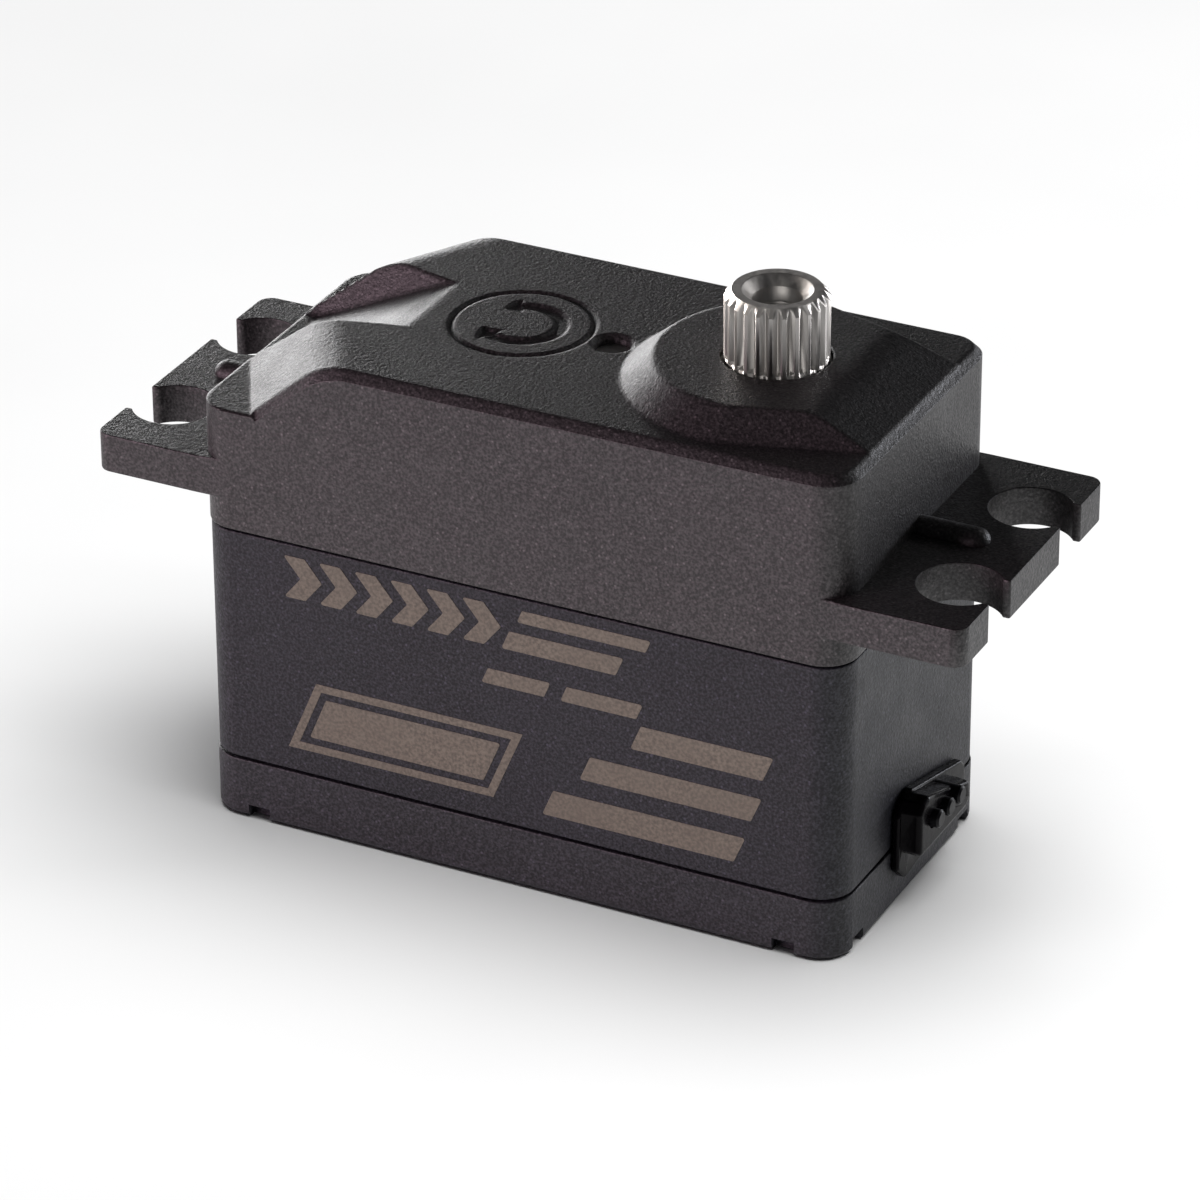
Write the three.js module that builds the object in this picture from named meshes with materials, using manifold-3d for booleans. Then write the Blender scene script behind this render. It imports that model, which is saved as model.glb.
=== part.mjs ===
// Compact metal-geared hobby servo motor.
// Units are millimetres, +Z is up. The origin is on the output shaft's axis, in the plane of the flat
// underside. +X points to the end where the output shaft and the cable are, +Y to the far long side.
import * as THREE from 'three';
import { mergeVertices } from 'three/addons/utils/BufferGeometryUtils.js';
import Module from 'manifold-3d';

const wasm = await Module();
wasm.setup();

// ---- driving dimensions -------------------------------------------------------------------------

// case, outside
const LEFT = -31.9;              // end face on the motor side
const RIGHT = 8.9;               // end face on the output side
const HALF_WIDTH = 10.1;
const CORNER = 2.1;              // radius of the upright corners
const COVER_TOP = 3.9;           // joint between bottom cover and middle case
const MIDDLE_TOP = 18.9;         // joint between middle case and top case
const TOP_FACE = 30.65;
const TOP_CHAMFER = 0.5;
const MIDDLE_INSET = 0.05;       // the middle case sits this far inside its neighbours

// case, inside
const WALL = 1.5;
const OUTPUT_WALL = 1.1;         // end wall of the gearbox, thinner to clear the output wheel
const DECK = 1.5;                // floor of the gearbox, on top of the middle case
const COVER_FLOOR = 1.4;
const ROOF = 1.6;
const ROOF_SLOPE = [-22.6, -27]; // the gearbox roof falls from the first to the second X
const INSIDE_CORNER = 0.8;

// gaps
const FIT = 0.03;                // between parts that sit in each other
const RUN = 0.05;                // radial, between parts that turn
const SCREW_GAP = 0.1;           // around screw shanks
const BOARD_GAP = 0.3;           // around the circuit board

// output boss on the top face
const BOSS_TOP = 32.15;
const BOSS_BASE = { radius: 8.7, side: 8.25, end: 8.4 };
const BOSS_HEAD = { radius: 6.9, side: 6.7, end: 4.8 };
const BOSS_TAPER = 17;           // degrees, how the straight sides close in towards +X

// corner ramps and trough on the motor side of the top face
const SHELF = 26.57;             // low corner shelves
const SHELF_ROOF = 1.7;          // wall under the shelves
const RAMP_FOOT = [-28.26, 9.76];
const RAMP_TURN = 29.4;          // degrees, uphill direction away from +X
const RAMP_BLEND = 4;            // radius between ramp and top face
const RAMP_HALF = 16;            // how far the cut runs to each side of its foot
const TROUGH_HALF = 3.1;
const TROUGH_FLARE = 0.6;        // how much wider each wall gets per mm of height
const TROUGH_FLOOR = [[-33, 26.5], [-30.9, 26.5], [-29.7, 27], [-23.1, 30.1], [-21.3, 30.75]];

// mounting ears
const EAR_BOTTOM = 20.82;
const EAR_TOP = 23.27;
const EAR_REACH = { output: 7.05, motor: 6.63 };
const EAR_CORNER = 0.9;
const EAR_HOLE = 2.43;           // radius
const EAR_HOLE_IN = 2.41;        // hole centre to the ear's outer edge
const EAR_PITCH = 10;            // between the two holes of one ear
const EAR_SLOT = 1.45;           // half the width of the slot that opens each hole
const EAR_ROOT = 3;              // how deep the ear plate runs into the case
const RIB_LENGTH = 4.3;
const RIB_HALF = 0.9;
const RIB_HEIGHT = 0.8;
const RIB_ROOT = 0.4;            // how deep the rib runs into the ear

// case screws, heads on the underside
const SCREW_X = [-29.3, 6.3];
const SCREW_Y = 7.5;
const SCREW_RADIUS = 1.0;
const SCREW_TIP = 24.2;
const SCREW_POINT = 0.6;         // height of the cone at the tip
const SCREW_HEAD = { radius: 1.7, low: 0.15, rim: 0.2, high: 1.2, reach: 1.05, drive: 0.75 };
const SCREW_RECESS = { radius: 1.85, depth: 1.3 };
const CROSS_SHARE = 0.3;         // half width of a cross recess, as a share of its reach
const SCREW_BOSS = 2.1;

// notches in the lower rim, two beside each corner
const NOTCH_HEIGHT = 0.85;
const NOTCH_WIDTH = 1.4;
const NOTCH_DEPTH = 0.7;
const NOTCH_FROM_END = 2.8;      // from the end face, on the long sides
const NOTCH_FROM_SIDE = 2.0;     // from the long side, on the end faces

// axes of the gear train
const PIN_X = -10.2;
const MOTOR_X = -19.5;
const PIN_RADIUS = 1.0;
const PIN_BOTTOM = 17.8;
const PIN_TOP = 30.05;
const PIN_SEAT = 1.2;

// gear train: teeth and module, from motor to output
const PINION = { teeth: 9, module: 0.3 };
const FIRST_WHEEL = { teeth: 53, module: 0.3 };
const FIRST_PINION = { teeth: 20, module: 0.3 };
const SECOND_WHEEL = { teeth: 48, module: 0.3 };
const SECOND_PINION = { teeth: 16, module: 0.3 };
const THIRD_WHEEL = { teeth: 52, module: 0.3 };
const THIRD_PINION = { teeth: 16, module: 0.4 };
const OUTPUT_WHEEL = { teeth: 35, module: 0.4 };
const PRESSURE_ANGLE = 20;       // degrees
const ADDENDUM = 0.85;           // tooth above the pitch circle, per module
const DEDENDUM = 1.2;            // tooth below the pitch circle, per module
const BACKLASH = 0.06;           // taken off each tooth's width
const ROOT_RELIEF = 0.02;        // taken off each side of a small pinion's tooth at its root
const RELIEF_BELOW = 18;         // wheels with fewer teeth have relieved roots
const STRAIGHT_FLANKS_FROM = 30; // flanks of wheels with this many teeth or more are nearly straight

// heights of the gears: underside of the wheel, top of the wheel, top of its pinion
const PINION_LEVELS = [19.2, 21.6];
const FIRST_LEVELS = [19.5, 21.3, 23.3];
const SECOND_LEVELS = [21.6, 23.0, 24.95];
const THIRD_LEVELS = [23.6, 24.8, 27.5];
const OUTPUT_LEVELS = [25.2, 27.4];
const SOLID_LAP = 0.2;           // overlap of solids that are joined into one part

// output shaft
const SPLINE_TEETH = 25;
const SPLINE_TIP = 3.0;
const SPLINE_ROOT = 2.68;
const SPLINE_LAND = 2.56;        // radius of the flat ring on top
const SPLINE_CHAMFER = 0.48;     // height of the chamfer over the teeth
const SPLINE_BOTTOM = 32.35;
const SPLINE_TOP = 36.2;
const TOOTH_TIP_SHARE = 0.15;    // half widths of a tooth, as shares of the pitch
const TOOTH_ROOT_SHARE = 0.45;
const STEM_RADIUS = 1.5;         // below the output wheel
const STEM_BOTTOM = 16.9;
const HUB_RADIUS = 3.9;          // above the output wheel
const HUB_TOP = 28.45;
const HORN_THREAD = { radius: 1.1, low: 28.9, point: 0.5 };
const HORN_BORE = { radius: 1.4, depth: 1.4, mouth: 2.0, mouthDepth: 0.55 };
const SHAFT_HOLE_GAP = 0.2;

// upper ball bearing and lower bushing
const BEARING = { inner: 3.0, innerRim: 3.65, outerRim: 4.35, outer: 5.0, low: 28.6, high: 31.6 };
const GROOVE = { half: 0.7, depth: 0.35 };
const CAGE = { inner: 3.9, outer: 4.1, half: 0.25 };
const BALLS = { count: 7, radius: 0.6, circle: 4 };
const BUSHING_RADIUS = 2.8;
const BUSHING_BOTTOM = 17.5;

// motor
const CAN = { radius: 7.8, wall: 0.6, bottom: 5.9, top: 17.3, edge: 0.5, hole: 2.4 };
const MOTOR_HOLE = 2.7;          // in the deck, around the motor's front bushing
const FRONT_BUSHING_TOP = 18.2;
const MOTOR_SHAFT = { radius: 0.75, bottom: 5.4, top: 21.7 };
const MOTOR_SCREW = { radius: 0.8, y: 5, head: 1.5, headTop: 19.8, edge: 0.35, reach: 0.8, drive: 0.4 };
const MOTOR_SCREW_BITE = 0.8;    // how deep the screws reach below the can's top
const END_CAP = { hole: 0.8, hub: 2, hubBottom: 5.2, bottom: 5.6, top: 6.5 };
const MAGNET = { inner: 5.3, outer: 7.15, arc: 2.2, low: 8, high: 16 };
const CORE = { hub: 1.7, neck: 0.6, neckReach: 4.4, low: 8.6, high: 15 };
const POLE_SHOE = { inner: 4.0, outer: 5.0, arc: 1.7 };
const COIL = { from: 2.2, to: 3.75, half: 1.35, over: 0.7 };
const COMMUTATOR = { radius: 1.35, low: 6.7, high: 7.8 };
const BRUSH = { half: 0.5, reach: 4.6, low: 6.9, high: 7.3 };
const TERMINAL = { half: 0.6, y: 4.5, halfThickness: 0.2, top: 6.85 };
const POLES = [0, 1, 2].map((pole) => pole * 2 * Math.PI / 3);

// potentiometer
const POT = { radius: 4.8, wall: 0.8, bottom: 11.2, top: 17.1, roof: 0.7, step: 0.3, hole: 1.1 };
const POT_SHAFT = { radius: 1, bottom: 12.4, top: 20.2, endGap: 0.2 };
const POT_TRACK = { inner: 2.5, outer: 3.7, height: 0.45 };
const WIPER = { hub: 1.9, reach: 3.5, half: 0.5, low: 13.6, armTop: 14.0, hubTop: 14.6 };
const WIPER_FINGER = { end: 2.7, half: 0.4, low: 12.55, high: 13.8 };

// circuit board and what is soldered to it
const BOARD = { bottom: 2.3, top: 3.1, right: 6.1 };
const CHIP_HEIGHT = 1;
const CONTROLLER = { x: -8, y: 2, half: 2.5 };
const DRIVER = { x: -25, y: 3.2, half: 2 };
const CAPACITOR = { x: -8.4, y: -5.4, radius: 2, top: 8.6, edge: 0.3 };

// wires and leads
const POT_WIRE = { radius: 0.4, pitch: 1.8, x: -2, footX: -3, drop: 1.4, rise: 1.9, steps: 7 };
const LEAD = { radius: 0.55, pitch: 1.5, y: 0.6, z: 5.35, footX: 1.2, rise: 0.8, steps: 9 };
const LEAD_LEVEL = [2, 3.8];     // the leads run level from here on, from their solder joints
const LEAD_STUB = 0.5;           // how far the leads stand out of the grommet

// cable grommet in the output-side end wall
const GROMMET_NECK = { y0: -1.9, y1: 2.8, z0: 3.0, z1: 6.1 };
const GROMMET_FLANGE = 0.5;
const GROMMET_BLOCK = 1.7;
const GROMMET_SEAT = 0.01;       // between the flange and the end wall
const GROMMET_LIP = 0.5;         // how far the inner lip overlaps the wall
const FLANGE_OUTLINE = [
  [-1.9, 1.6], [2.6, 2.2], [5.9, 2.6], [6.5, 3.2], [6.4, 4.9], [5.9, 5.4],
  [-1.2, 7.2], [-2.4, 6.9], [-3.05, 6.1], [-3.1, 2.7], [-2.7, 1.9],
];
const BLOCK_OUTLINE = [
  [-2.3, 3.5], [4.0, 3.5], [4.6, 4.1], [4.4, 5.2], [-1.5, 7.15], [-2.2, 7.0], [-2.75, 6.4], [-2.8, 4.0],
];

// facets
const TINY = 8;                  // sides of round solids, by size
const SMALL = 12;
const MEDIUM = 16;
const LARGE = 24;
const FINE = 32;
const ARC_STEPS = 5;             // facets in each rounded corner of an outline
const BLEND_STEPS = 4;
const CAP_RINGS = 3;             // facets from the rib's side to the tip of its round end
const BOSS_STEPS = 18;
const OVER = 1;                  // how far a cutter reaches past the solid that it cuts
const WELD = 1e-5;               // corners closer than this are one corner

// ---- materials ----------------------------------------------------------------------------------

function finish(color, roughness, metalness) {
  return new THREE.MeshStandardMaterial({ color, roughness, metalness });
}

const topPlastic = finish(0x2b2829, 0.55, 0);
const lowerPlastic = finish(0x26252a, 0.6, 0);
const steel = finish(0xb9b4b0, 0.3, 1);
const blackSteel = finish(0x2a2a2c, 0.4, 1);
const brass = finish(0xb8924a, 0.35, 1);
const copper = finish(0xb4683c, 0.35, 1);
const magnetGrey = finish(0x3a3a3d, 0.7, 0.2);
const rubber = finish(0x141314, 0.45, 0);
const boardGreen = finish(0x1e4a2c, 0.5, 0);
const chipBlack = finish(0x18181a, 0.5, 0);
const palePlastic = finish(0xd8d4c8, 0.5, 0);
const resistorTrack = finish(0x5a3c22, 0.6, 0);
const leadBlack = finish(0x161517, 0.5, 0);
const wireColours = [finish(0xd0a020, 0.5, 0), finish(0xa02018, 0.5, 0), finish(0x3c2416, 0.5, 0)];

// ---- solids from three.js geometry ---------------------------------------------------------------

// a closed solid from a geometry: welded corners, no flat slivers
function solid(geometry) {
  const bare = geometry.clone();
  bare.deleteAttribute('normal');
  bare.deleteAttribute('uv');
  const welded = mergeVertices(bare, WELD);
  const corners = welded.index.array;
  const kept = [];
  for (let i = 0; i < corners.length; i += 3) {
    const [a, b, c] = [corners[i], corners[i + 1], corners[i + 2]];
    if (a !== b && b !== c && c !== a) kept.push(a, b, c);
  }
  return new wasm.Manifold(new wasm.Mesh({
    numProp: 3,
    vertProperties: new Float32Array(welded.attributes.position.array),
    triVerts: new Uint32Array(kept),
  }));
}

function geometryOf(manifold) {
  const mesh = manifold.getMesh();
  const geometry = new THREE.BufferGeometry();
  geometry.setAttribute('position', new THREE.BufferAttribute(mesh.vertProperties, 3));
  geometry.setIndex(new THREE.BufferAttribute(mesh.triVerts, 1));
  geometry.computeVertexNormals();
  return geometry;
}

// an outline extruded straight up, from low to high
function prism(shape, low, high) {
  const geometry = new THREE.ExtrudeGeometry(shape, {
    depth: high - low,
    bevelEnabled: false,
    curveSegments: ARC_STEPS,
  });
  return solid(geometry.translate(0, 0, low));
}

// an outline of [x, z] points extruded along Y, from -half to half
function slab(points, half) {
  const geometry = new THREE.ExtrudeGeometry(outline(points), { depth: 2 * half, bevelEnabled: false });
  return solid(geometry.rotateX(Math.PI / 2).translate(0, half, 0));
}

function outline(points) {
  return new THREE.Shape(points.map(([x, y]) => new THREE.Vector2(x, y)));
}

// a box between two values on each axis, in either order
function box(x0, x1, y0, y1, z0, z1) {
  const geometry = new THREE.BoxGeometry(Math.abs(x1 - x0), Math.abs(y1 - y0), Math.abs(z1 - z0));
  return solid(geometry.translate((x0 + x1) / 2, (y0 + y1) / 2, (z0 + z1) / 2));
}

function cylinder(x, y, radius, low, high, sides = LARGE) {
  const geometry = new THREE.CylinderGeometry(radius, radius, high - low, sides);
  return solid(geometry.rotateX(Math.PI / 2).translate(x, y, (low + high) / 2));
}

// a profile of [radius, height] points, listed upwards along the outside, turned about Z
function turned(profile, x = 0, y = 0, sides = LARGE) {
  const points = [...profile, profile[0]].map(([radius, height]) => new THREE.Vector2(radius, height));
  const geometry = new THREE.LatheGeometry(points, sides);
  return solid(geometry.rotateX(Math.PI / 2).translate(x, y, 0));
}

// a skin over matching rings of [x, y, z] points, closed by the first and last ring
function loft(rings) {
  const count = rings[0].length;
  const index = [];
  for (let ring = 0; ring + 1 < rings.length; ring += 1) {
    for (let i = 0; i < count; i += 1) {
      const a = ring * count + i;
      const b = ring * count + ((i + 1) % count);
      index.push(a, b, b + count, a, b + count, a + count);
    }
  }
  const last = (rings.length - 1) * count;
  for (const [a, b, c] of THREE.ShapeUtils.triangulateShape(flattened(rings[0]), [])) {
    index.push(c, b, a);
    index.push(last + a, last + b, last + c);
  }
  const geometry = new THREE.BufferGeometry();
  geometry.setAttribute('position', new THREE.Float32BufferAttribute(rings.flat(2), 3));
  geometry.setIndex(index);
  return solid(geometry);
}

// a ring that lies across X is flattened to (y, z), any other to (x, y)
function flattened(ring) {
  const acrossX = ring[0][0] === ring[1][0] && ring[1][0] === ring[2][0];
  return ring.map(([x, y, z]) => (acrossX ? new THREE.Vector2(y, z) : new THREE.Vector2(x, y)));
}

function join(parts) {
  return parts.reduce((all, part) => all.add(part));
}

function degrees(angle) {
  return THREE.MathUtils.radToDeg(angle);
}

// a piece whose X axis lies along a direction from the motor's axis
function alongPole(piece, angle) {
  return piece.rotate([0, 0, degrees(angle)]).translate([MOTOR_X, 0, 0]);
}

// ---- outlines ------------------------------------------------------------------------------------

function roundedBox(x0, x1, half, radius) {
  const shape = new THREE.Shape();
  shape.moveTo(x0 + radius, -half);
  shape.lineTo(x1 - radius, -half);
  shape.absarc(x1 - radius, -half + radius, radius, -Math.PI / 2, 0);
  shape.lineTo(x1, half - radius);
  shape.absarc(x1 - radius, half - radius, radius, 0, Math.PI / 2);
  shape.lineTo(x0 + radius, half);
  shape.absarc(x0 + radius, half - radius, radius, Math.PI / 2, Math.PI);
  shape.lineTo(x0, -half + radius);
  shape.absarc(x0 + radius, -half + radius, radius, Math.PI, Math.PI * 1.5);
  return shape;
}

function caseOutline(inset) {
  return roundedBox(LEFT + inset, RIGHT - inset, HALF_WIDTH - inset, CORNER - inset);
}

function ringAt(shape, height) {
  const points = shape.extractPoints(ARC_STEPS).shape;
  const last = points[points.length - 1];
  if (points[0].distanceTo(last) < WELD) points.pop();
  return points.map((point) => [point.x, point.y, height]);
}

// corners given as [radius, angle]
function polarOutline(points) {
  return outline(points.map(([radius, angle]) => [radius * Math.cos(angle), radius * Math.sin(angle)]));
}

function involute(angle) {
  return Math.tan(angle) - angle;
}

// tooth outline with a tooth centred on the phase angle
function gearOutline({ teeth, module }, phase) {
  const pressure = THREE.MathUtils.degToRad(PRESSURE_ANGLE);
  const pitch = teeth * module / 2;
  const root = pitch - DEDENDUM * module;
  const tip = pitch + ADDENDUM * module;
  const base = pitch * Math.cos(pressure);
  const halfAtPitch = Math.PI / (2 * teeth) - BACKLASH / (2 * pitch);
  const halfAt = (radius) => {
    const reach = Math.acos(Math.min(1, base / Math.max(radius, base)));
    return halfAtPitch + involute(pressure) - involute(reach);
  };
  const relief = teeth < RELIEF_BELOW ? ROOT_RELIEF : 0;
  const points = [];
  for (let tooth = 0; tooth < teeth; tooth += 1) {
    const middle = phase + tooth * 2 * Math.PI / teeth;
    const flank = [[root, halfAt(root) - relief / root], [pitch, halfAt(pitch)], [tip, halfAt(tip)]];
    if (teeth >= STRAIGHT_FLANKS_FROM) flank.splice(1, 1);
    for (const [radius, half] of flank) points.push([radius, middle - half]);
    for (const [radius, half] of flank.reverse()) points.push([radius, middle + half]);
  }
  return polarOutline(points);
}

function gearWheel(gear, phase, x, low, high) {
  return prism(gearOutline(gear, phase), low, high).translate([x, 0, 0]);
}

// ---- case shells ---------------------------------------------------------------------------------

const corners = SCREW_X.flatMap((x) => [[x, -SCREW_Y], [x, SCREW_Y]]);

function atCorners(make) {
  return join(corners.map(([x, y]) => make(x, y)));
}

function endFace(x) {
  return x < 0 ? LEFT : RIGHT;
}

// the room inside the walls, around a solid column at each screw
function caseCavity(low, high, right = RIGHT - WALL) {
  const hollow = prism(roundedBox(LEFT + WALL, right, HALF_WIDTH - WALL, INSIDE_CORNER), low, high);
  const columns = atCorners((x, y) => {
    const toEnd = box(x, endFace(x), y - SCREW_BOSS, y + SCREW_BOSS, low, high);
    const toSide = box(x - SCREW_BOSS, x + SCREW_BOSS, y, Math.sign(y) * HALF_WIDTH, low, high);
    return cylinder(x, y, SCREW_BOSS, low, high, SMALL).add(toEnd).add(toSide);
  });
  return hollow.subtract(columns);
}

function screwHoles(low, high) {
  return atCorners((x, y) => cylinder(x, y, SCREW_RADIUS + SCREW_GAP, low, high, SMALL));
}

// the near (-1) and far (1) ramp cutters mirror each other
function rampCut(side) {
  const rise = TOP_FACE - SHELF;
  const blendEnd = rise + RAMP_BLEND * Math.tan(Math.PI / 8);
  const profile = [[-RAMP_HALF, SHELF], [0, SHELF]];
  for (let step = 0; step <= BLEND_STEPS; step += 1) {
    const angle = Math.PI / 4 * (1 - step / BLEND_STEPS);
    profile.push([
      blendEnd - RAMP_BLEND * Math.sin(angle),
      TOP_FACE - RAMP_BLEND * (1 - Math.cos(angle)),
    ]);
  }
  profile.push([blendEnd, TOP_FACE + OVER], [-RAMP_HALF, TOP_FACE + OVER]);
  const near = slab(profile, RAMP_HALF)
    .rotate([0, 0, RAMP_TURN])
    .translate([RAMP_FOOT[0], -RAMP_FOOT[1], 0]);
  return side < 0 ? near : near.mirror([0, 1, 0]);
}

function troughCut() {
  const height = TOP_FACE - SHELF + 2 * OVER;
  const wide = TROUGH_HALF + TROUGH_FLARE * height;
  const rings = TROUGH_FLOOR.map(([x, z]) => [
    [x, -TROUGH_HALF, z],
    [x, TROUGH_HALF, z],
    [x, wide, z + height],
    [x, -wide, z + height],
  ]);
  return loft(rings);
}

// a circle about the shaft with two straight sides that close in towards a straight end
function bossOutline({ radius, side, end }) {
  const taper = THREE.MathUtils.degToRad(BOSS_TAPER);
  const from = Math.PI / 2 - taper + Math.acos(side / radius);
  const endY = (side - end * Math.sin(taper)) / Math.cos(taper);
  const points = [[end, -endY], [end, endY]];
  for (let step = 0; step <= BOSS_STEPS; step += 1) {
    const angle = from + (2 * Math.PI - 2 * from) * step / BOSS_STEPS;
    points.push([radius * Math.cos(angle), radius * Math.sin(angle)]);
  }
  return points;
}

function outputBoss() {
  const foot = bossOutline(BOSS_BASE);
  const head = bossOutline(BOSS_HEAD);
  return loft([
    foot.map(([x, y]) => [x, y, TOP_FACE - SOLID_LAP]),
    foot.map(([x, y]) => [x, y, TOP_FACE]),
    head.map(([x, y]) => [x, y, BOSS_TOP]),
  ]);
}

function ear(side) {
  const wall = side > 0 ? RIGHT : LEFT;
  const edge = wall + side * (side > 0 ? EAR_REACH.output : EAR_REACH.motor);
  const root = wall - side * EAR_ROOT;
  const shape = roundedBox(Math.min(edge, root), Math.max(edge, root), HALF_WIDTH, EAR_CORNER);
  const holeX = edge - side * EAR_HOLE_IN;
  const [low, high] = [EAR_BOTTOM - OVER, EAR_TOP + OVER];
  const holes = [-1, 1].map((row) => {
    const y = row * EAR_PITCH / 2;
    const slot = box(holeX, edge + side * OVER, y - EAR_SLOT, y + EAR_SLOT, low, high);
    return cylinder(holeX, y, EAR_HOLE, low, high).add(slot);
  });
  return prism(shape, EAR_BOTTOM, EAR_TOP).subtract(join(holes)).add(rib(wall, side));
}

// low half-round bar from the case's end wall along the ear's centre line
function rib(wall, side) {
  const bar = new THREE.CapsuleGeometry(RIB_HALF, RIB_LENGTH, CAP_RINGS, SMALL);
  bar.rotateZ(Math.PI / 2);
  bar.scale(1, 1, RIB_HEIGHT / RIB_HALF);
  bar.translate(wall + side * (RIB_LENGTH / 2 - RIB_HALF), 0, EAR_TOP);
  const below = box(wall - 2 * RIB_LENGTH, wall + 2 * RIB_LENGTH, -HALF_WIDTH, HALF_WIDTH,
    EAR_BOTTOM, EAR_TOP - RIB_ROOT);
  return solid(bar).subtract(below);
}

function topCase() {
  const blank = loft([
    ringAt(caseOutline(0), MIDDLE_TOP),
    ringAt(caseOutline(0), TOP_FACE - TOP_CHAMFER),
    ringAt(caseOutline(TOP_CHAMFER), TOP_FACE),
  ]);
  const outside = blank
    .subtract(rampCut(-1))
    .subtract(rampCut(1))
    .subtract(troughCut())
    .add(outputBoss())
    .add(ear(1))
    .add(ear(-1));
  const ceiling = TOP_FACE - ROOF;
  const room = slab([
    [LEFT + WALL, MIDDLE_TOP - OVER],
    [RIGHT - OUTPUT_WALL, MIDDLE_TOP - OVER],
    [RIGHT - OUTPUT_WALL, ceiling],
    [ROOF_SLOPE[0], ceiling],
    [ROOF_SLOPE[1], SHELF - SHELF_ROOF],
    [LEFT + WALL, SHELF - SHELF_ROOF],
  ], HALF_WIDTH - WALL);
  return outside
    .subtract(room.intersect(caseCavity(MIDDLE_TOP - OVER, TOP_FACE, RIGHT - OUTPUT_WALL)))
    .subtract(cylinder(0, 0, BEARING.outer + FIT, ceiling - OVER, BEARING.high + FIT))
    .subtract(cylinder(0, 0, SPLINE_TIP + SHAFT_HOLE_GAP, ceiling, BOSS_TOP + OVER))
    .subtract(cylinder(PIN_X, 0, PIN_RADIUS + FIT, ceiling - OVER, TOP_FACE + OVER, MEDIUM))
    .subtract(screwHoles(MIDDLE_TOP - OVER, SCREW_TIP + SCREW_GAP));
}

function middleCase() {
  const [low, high] = [MIDDLE_TOP - DECK - OVER, MIDDLE_TOP + OVER];
  const motorScrewHoles = [-1, 1].map((side) =>
    cylinder(MOTOR_X, side * MOTOR_SCREW.y, MOTOR_SCREW.radius + SCREW_GAP, low, high, SMALL));
  return prism(caseOutline(MIDDLE_INSET), COVER_TOP, MIDDLE_TOP)
    .subtract(caseCavity(COVER_TOP - OVER, MIDDLE_TOP - DECK))
    .subtract(screwHoles(COVER_TOP - OVER, high))
    .subtract(cylinder(MOTOR_X, 0, MOTOR_HOLE, low, high))
    .subtract(join(motorScrewHoles))
    .subtract(cylinder(0, 0, BUSHING_RADIUS + FIT, low, high))
    .subtract(cylinder(PIN_X, 0, PIN_RADIUS + FIT, MIDDLE_TOP - PIN_SEAT, high))
    .subtract(grommetSlot());
}

function bottomCover() {
  const headRecesses = atCorners((x, y) =>
    cylinder(x, y, SCREW_RECESS.radius, -OVER, SCREW_RECESS.depth, MEDIUM));
  return prism(caseOutline(0), 0, COVER_TOP)
    .subtract(caseCavity(COVER_FLOOR, COVER_TOP + OVER))
    .subtract(screwHoles(-OVER, COVER_TOP + OVER))
    .subtract(headRecesses)
    .subtract(cornerNotches())
    .subtract(grommetSlot());
}

function cornerNotches() {
  const notches = [];
  for (const sideX of [-1, 1]) {
    for (const sideY of [-1, 1]) {
      const endX = sideX < 0 ? LEFT : RIGHT;
      const faceY = sideY * HALF_WIDTH;
      const fromX = endX - sideX * NOTCH_FROM_END;
      const fromY = faceY - sideY * NOTCH_FROM_SIDE;
      notches.push(box(fromX, fromX - sideX * NOTCH_WIDTH,
        faceY - sideY * NOTCH_DEPTH, faceY + sideY * OVER, -OVER, NOTCH_HEIGHT));
      notches.push(box(endX - sideX * NOTCH_DEPTH, endX + sideX * OVER,
        fromY, fromY - sideY * NOTCH_WIDTH, -OVER, NOTCH_HEIGHT));
    }
  }
  return join(notches);
}

// cross recess from two crossed blades
function crossRecess(x, y, low, high, reach) {
  const half = reach * CROSS_SHARE;
  const across = box(x - reach, x + reach, y - half, y + half, low, high);
  const along = box(x - half, x + half, y - reach, y + reach, low, high);
  return across.add(along);
}

function caseScrew(x, y) {
  const { radius, low, rim, high, reach, drive } = SCREW_HEAD;
  const head = turned([[0, low], [radius - rim, low], [radius, low + rim], [radius, high], [0, high]],
    x, y, MEDIUM);
  const shank = turned([
    [0, high - SOLID_LAP],
    [SCREW_RADIUS, high - SOLID_LAP],
    [SCREW_RADIUS, SCREW_TIP - SCREW_POINT],
    [SCREW_RADIUS / 2, SCREW_TIP],
    [0, SCREW_TIP],
  ], x, y, TINY);
  return head.add(shank).subtract(crossRecess(x, y, -OVER, drive, reach));
}

// ---- cable grommet and leads -----------------------------------------------------------------------

const grommetFace = RIGHT + GROMMET_BLOCK;
const leadRows = [-1, 0, 1].map((row) => LEAD.y + row * LEAD.pitch);

function grommetSlot() {
  const { y0, y1, z0, z1 } = GROMMET_NECK;
  return box(RIGHT - WALL - OVER, RIGHT + OVER, y0, y1, z0, z1);
}

// an outline of [y, z] points extruded along X
function plateX(points, x0, x1) {
  return loft([x0, x1].map((x) => points.map(([y, z]) => [x, y, z])));
}

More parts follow.
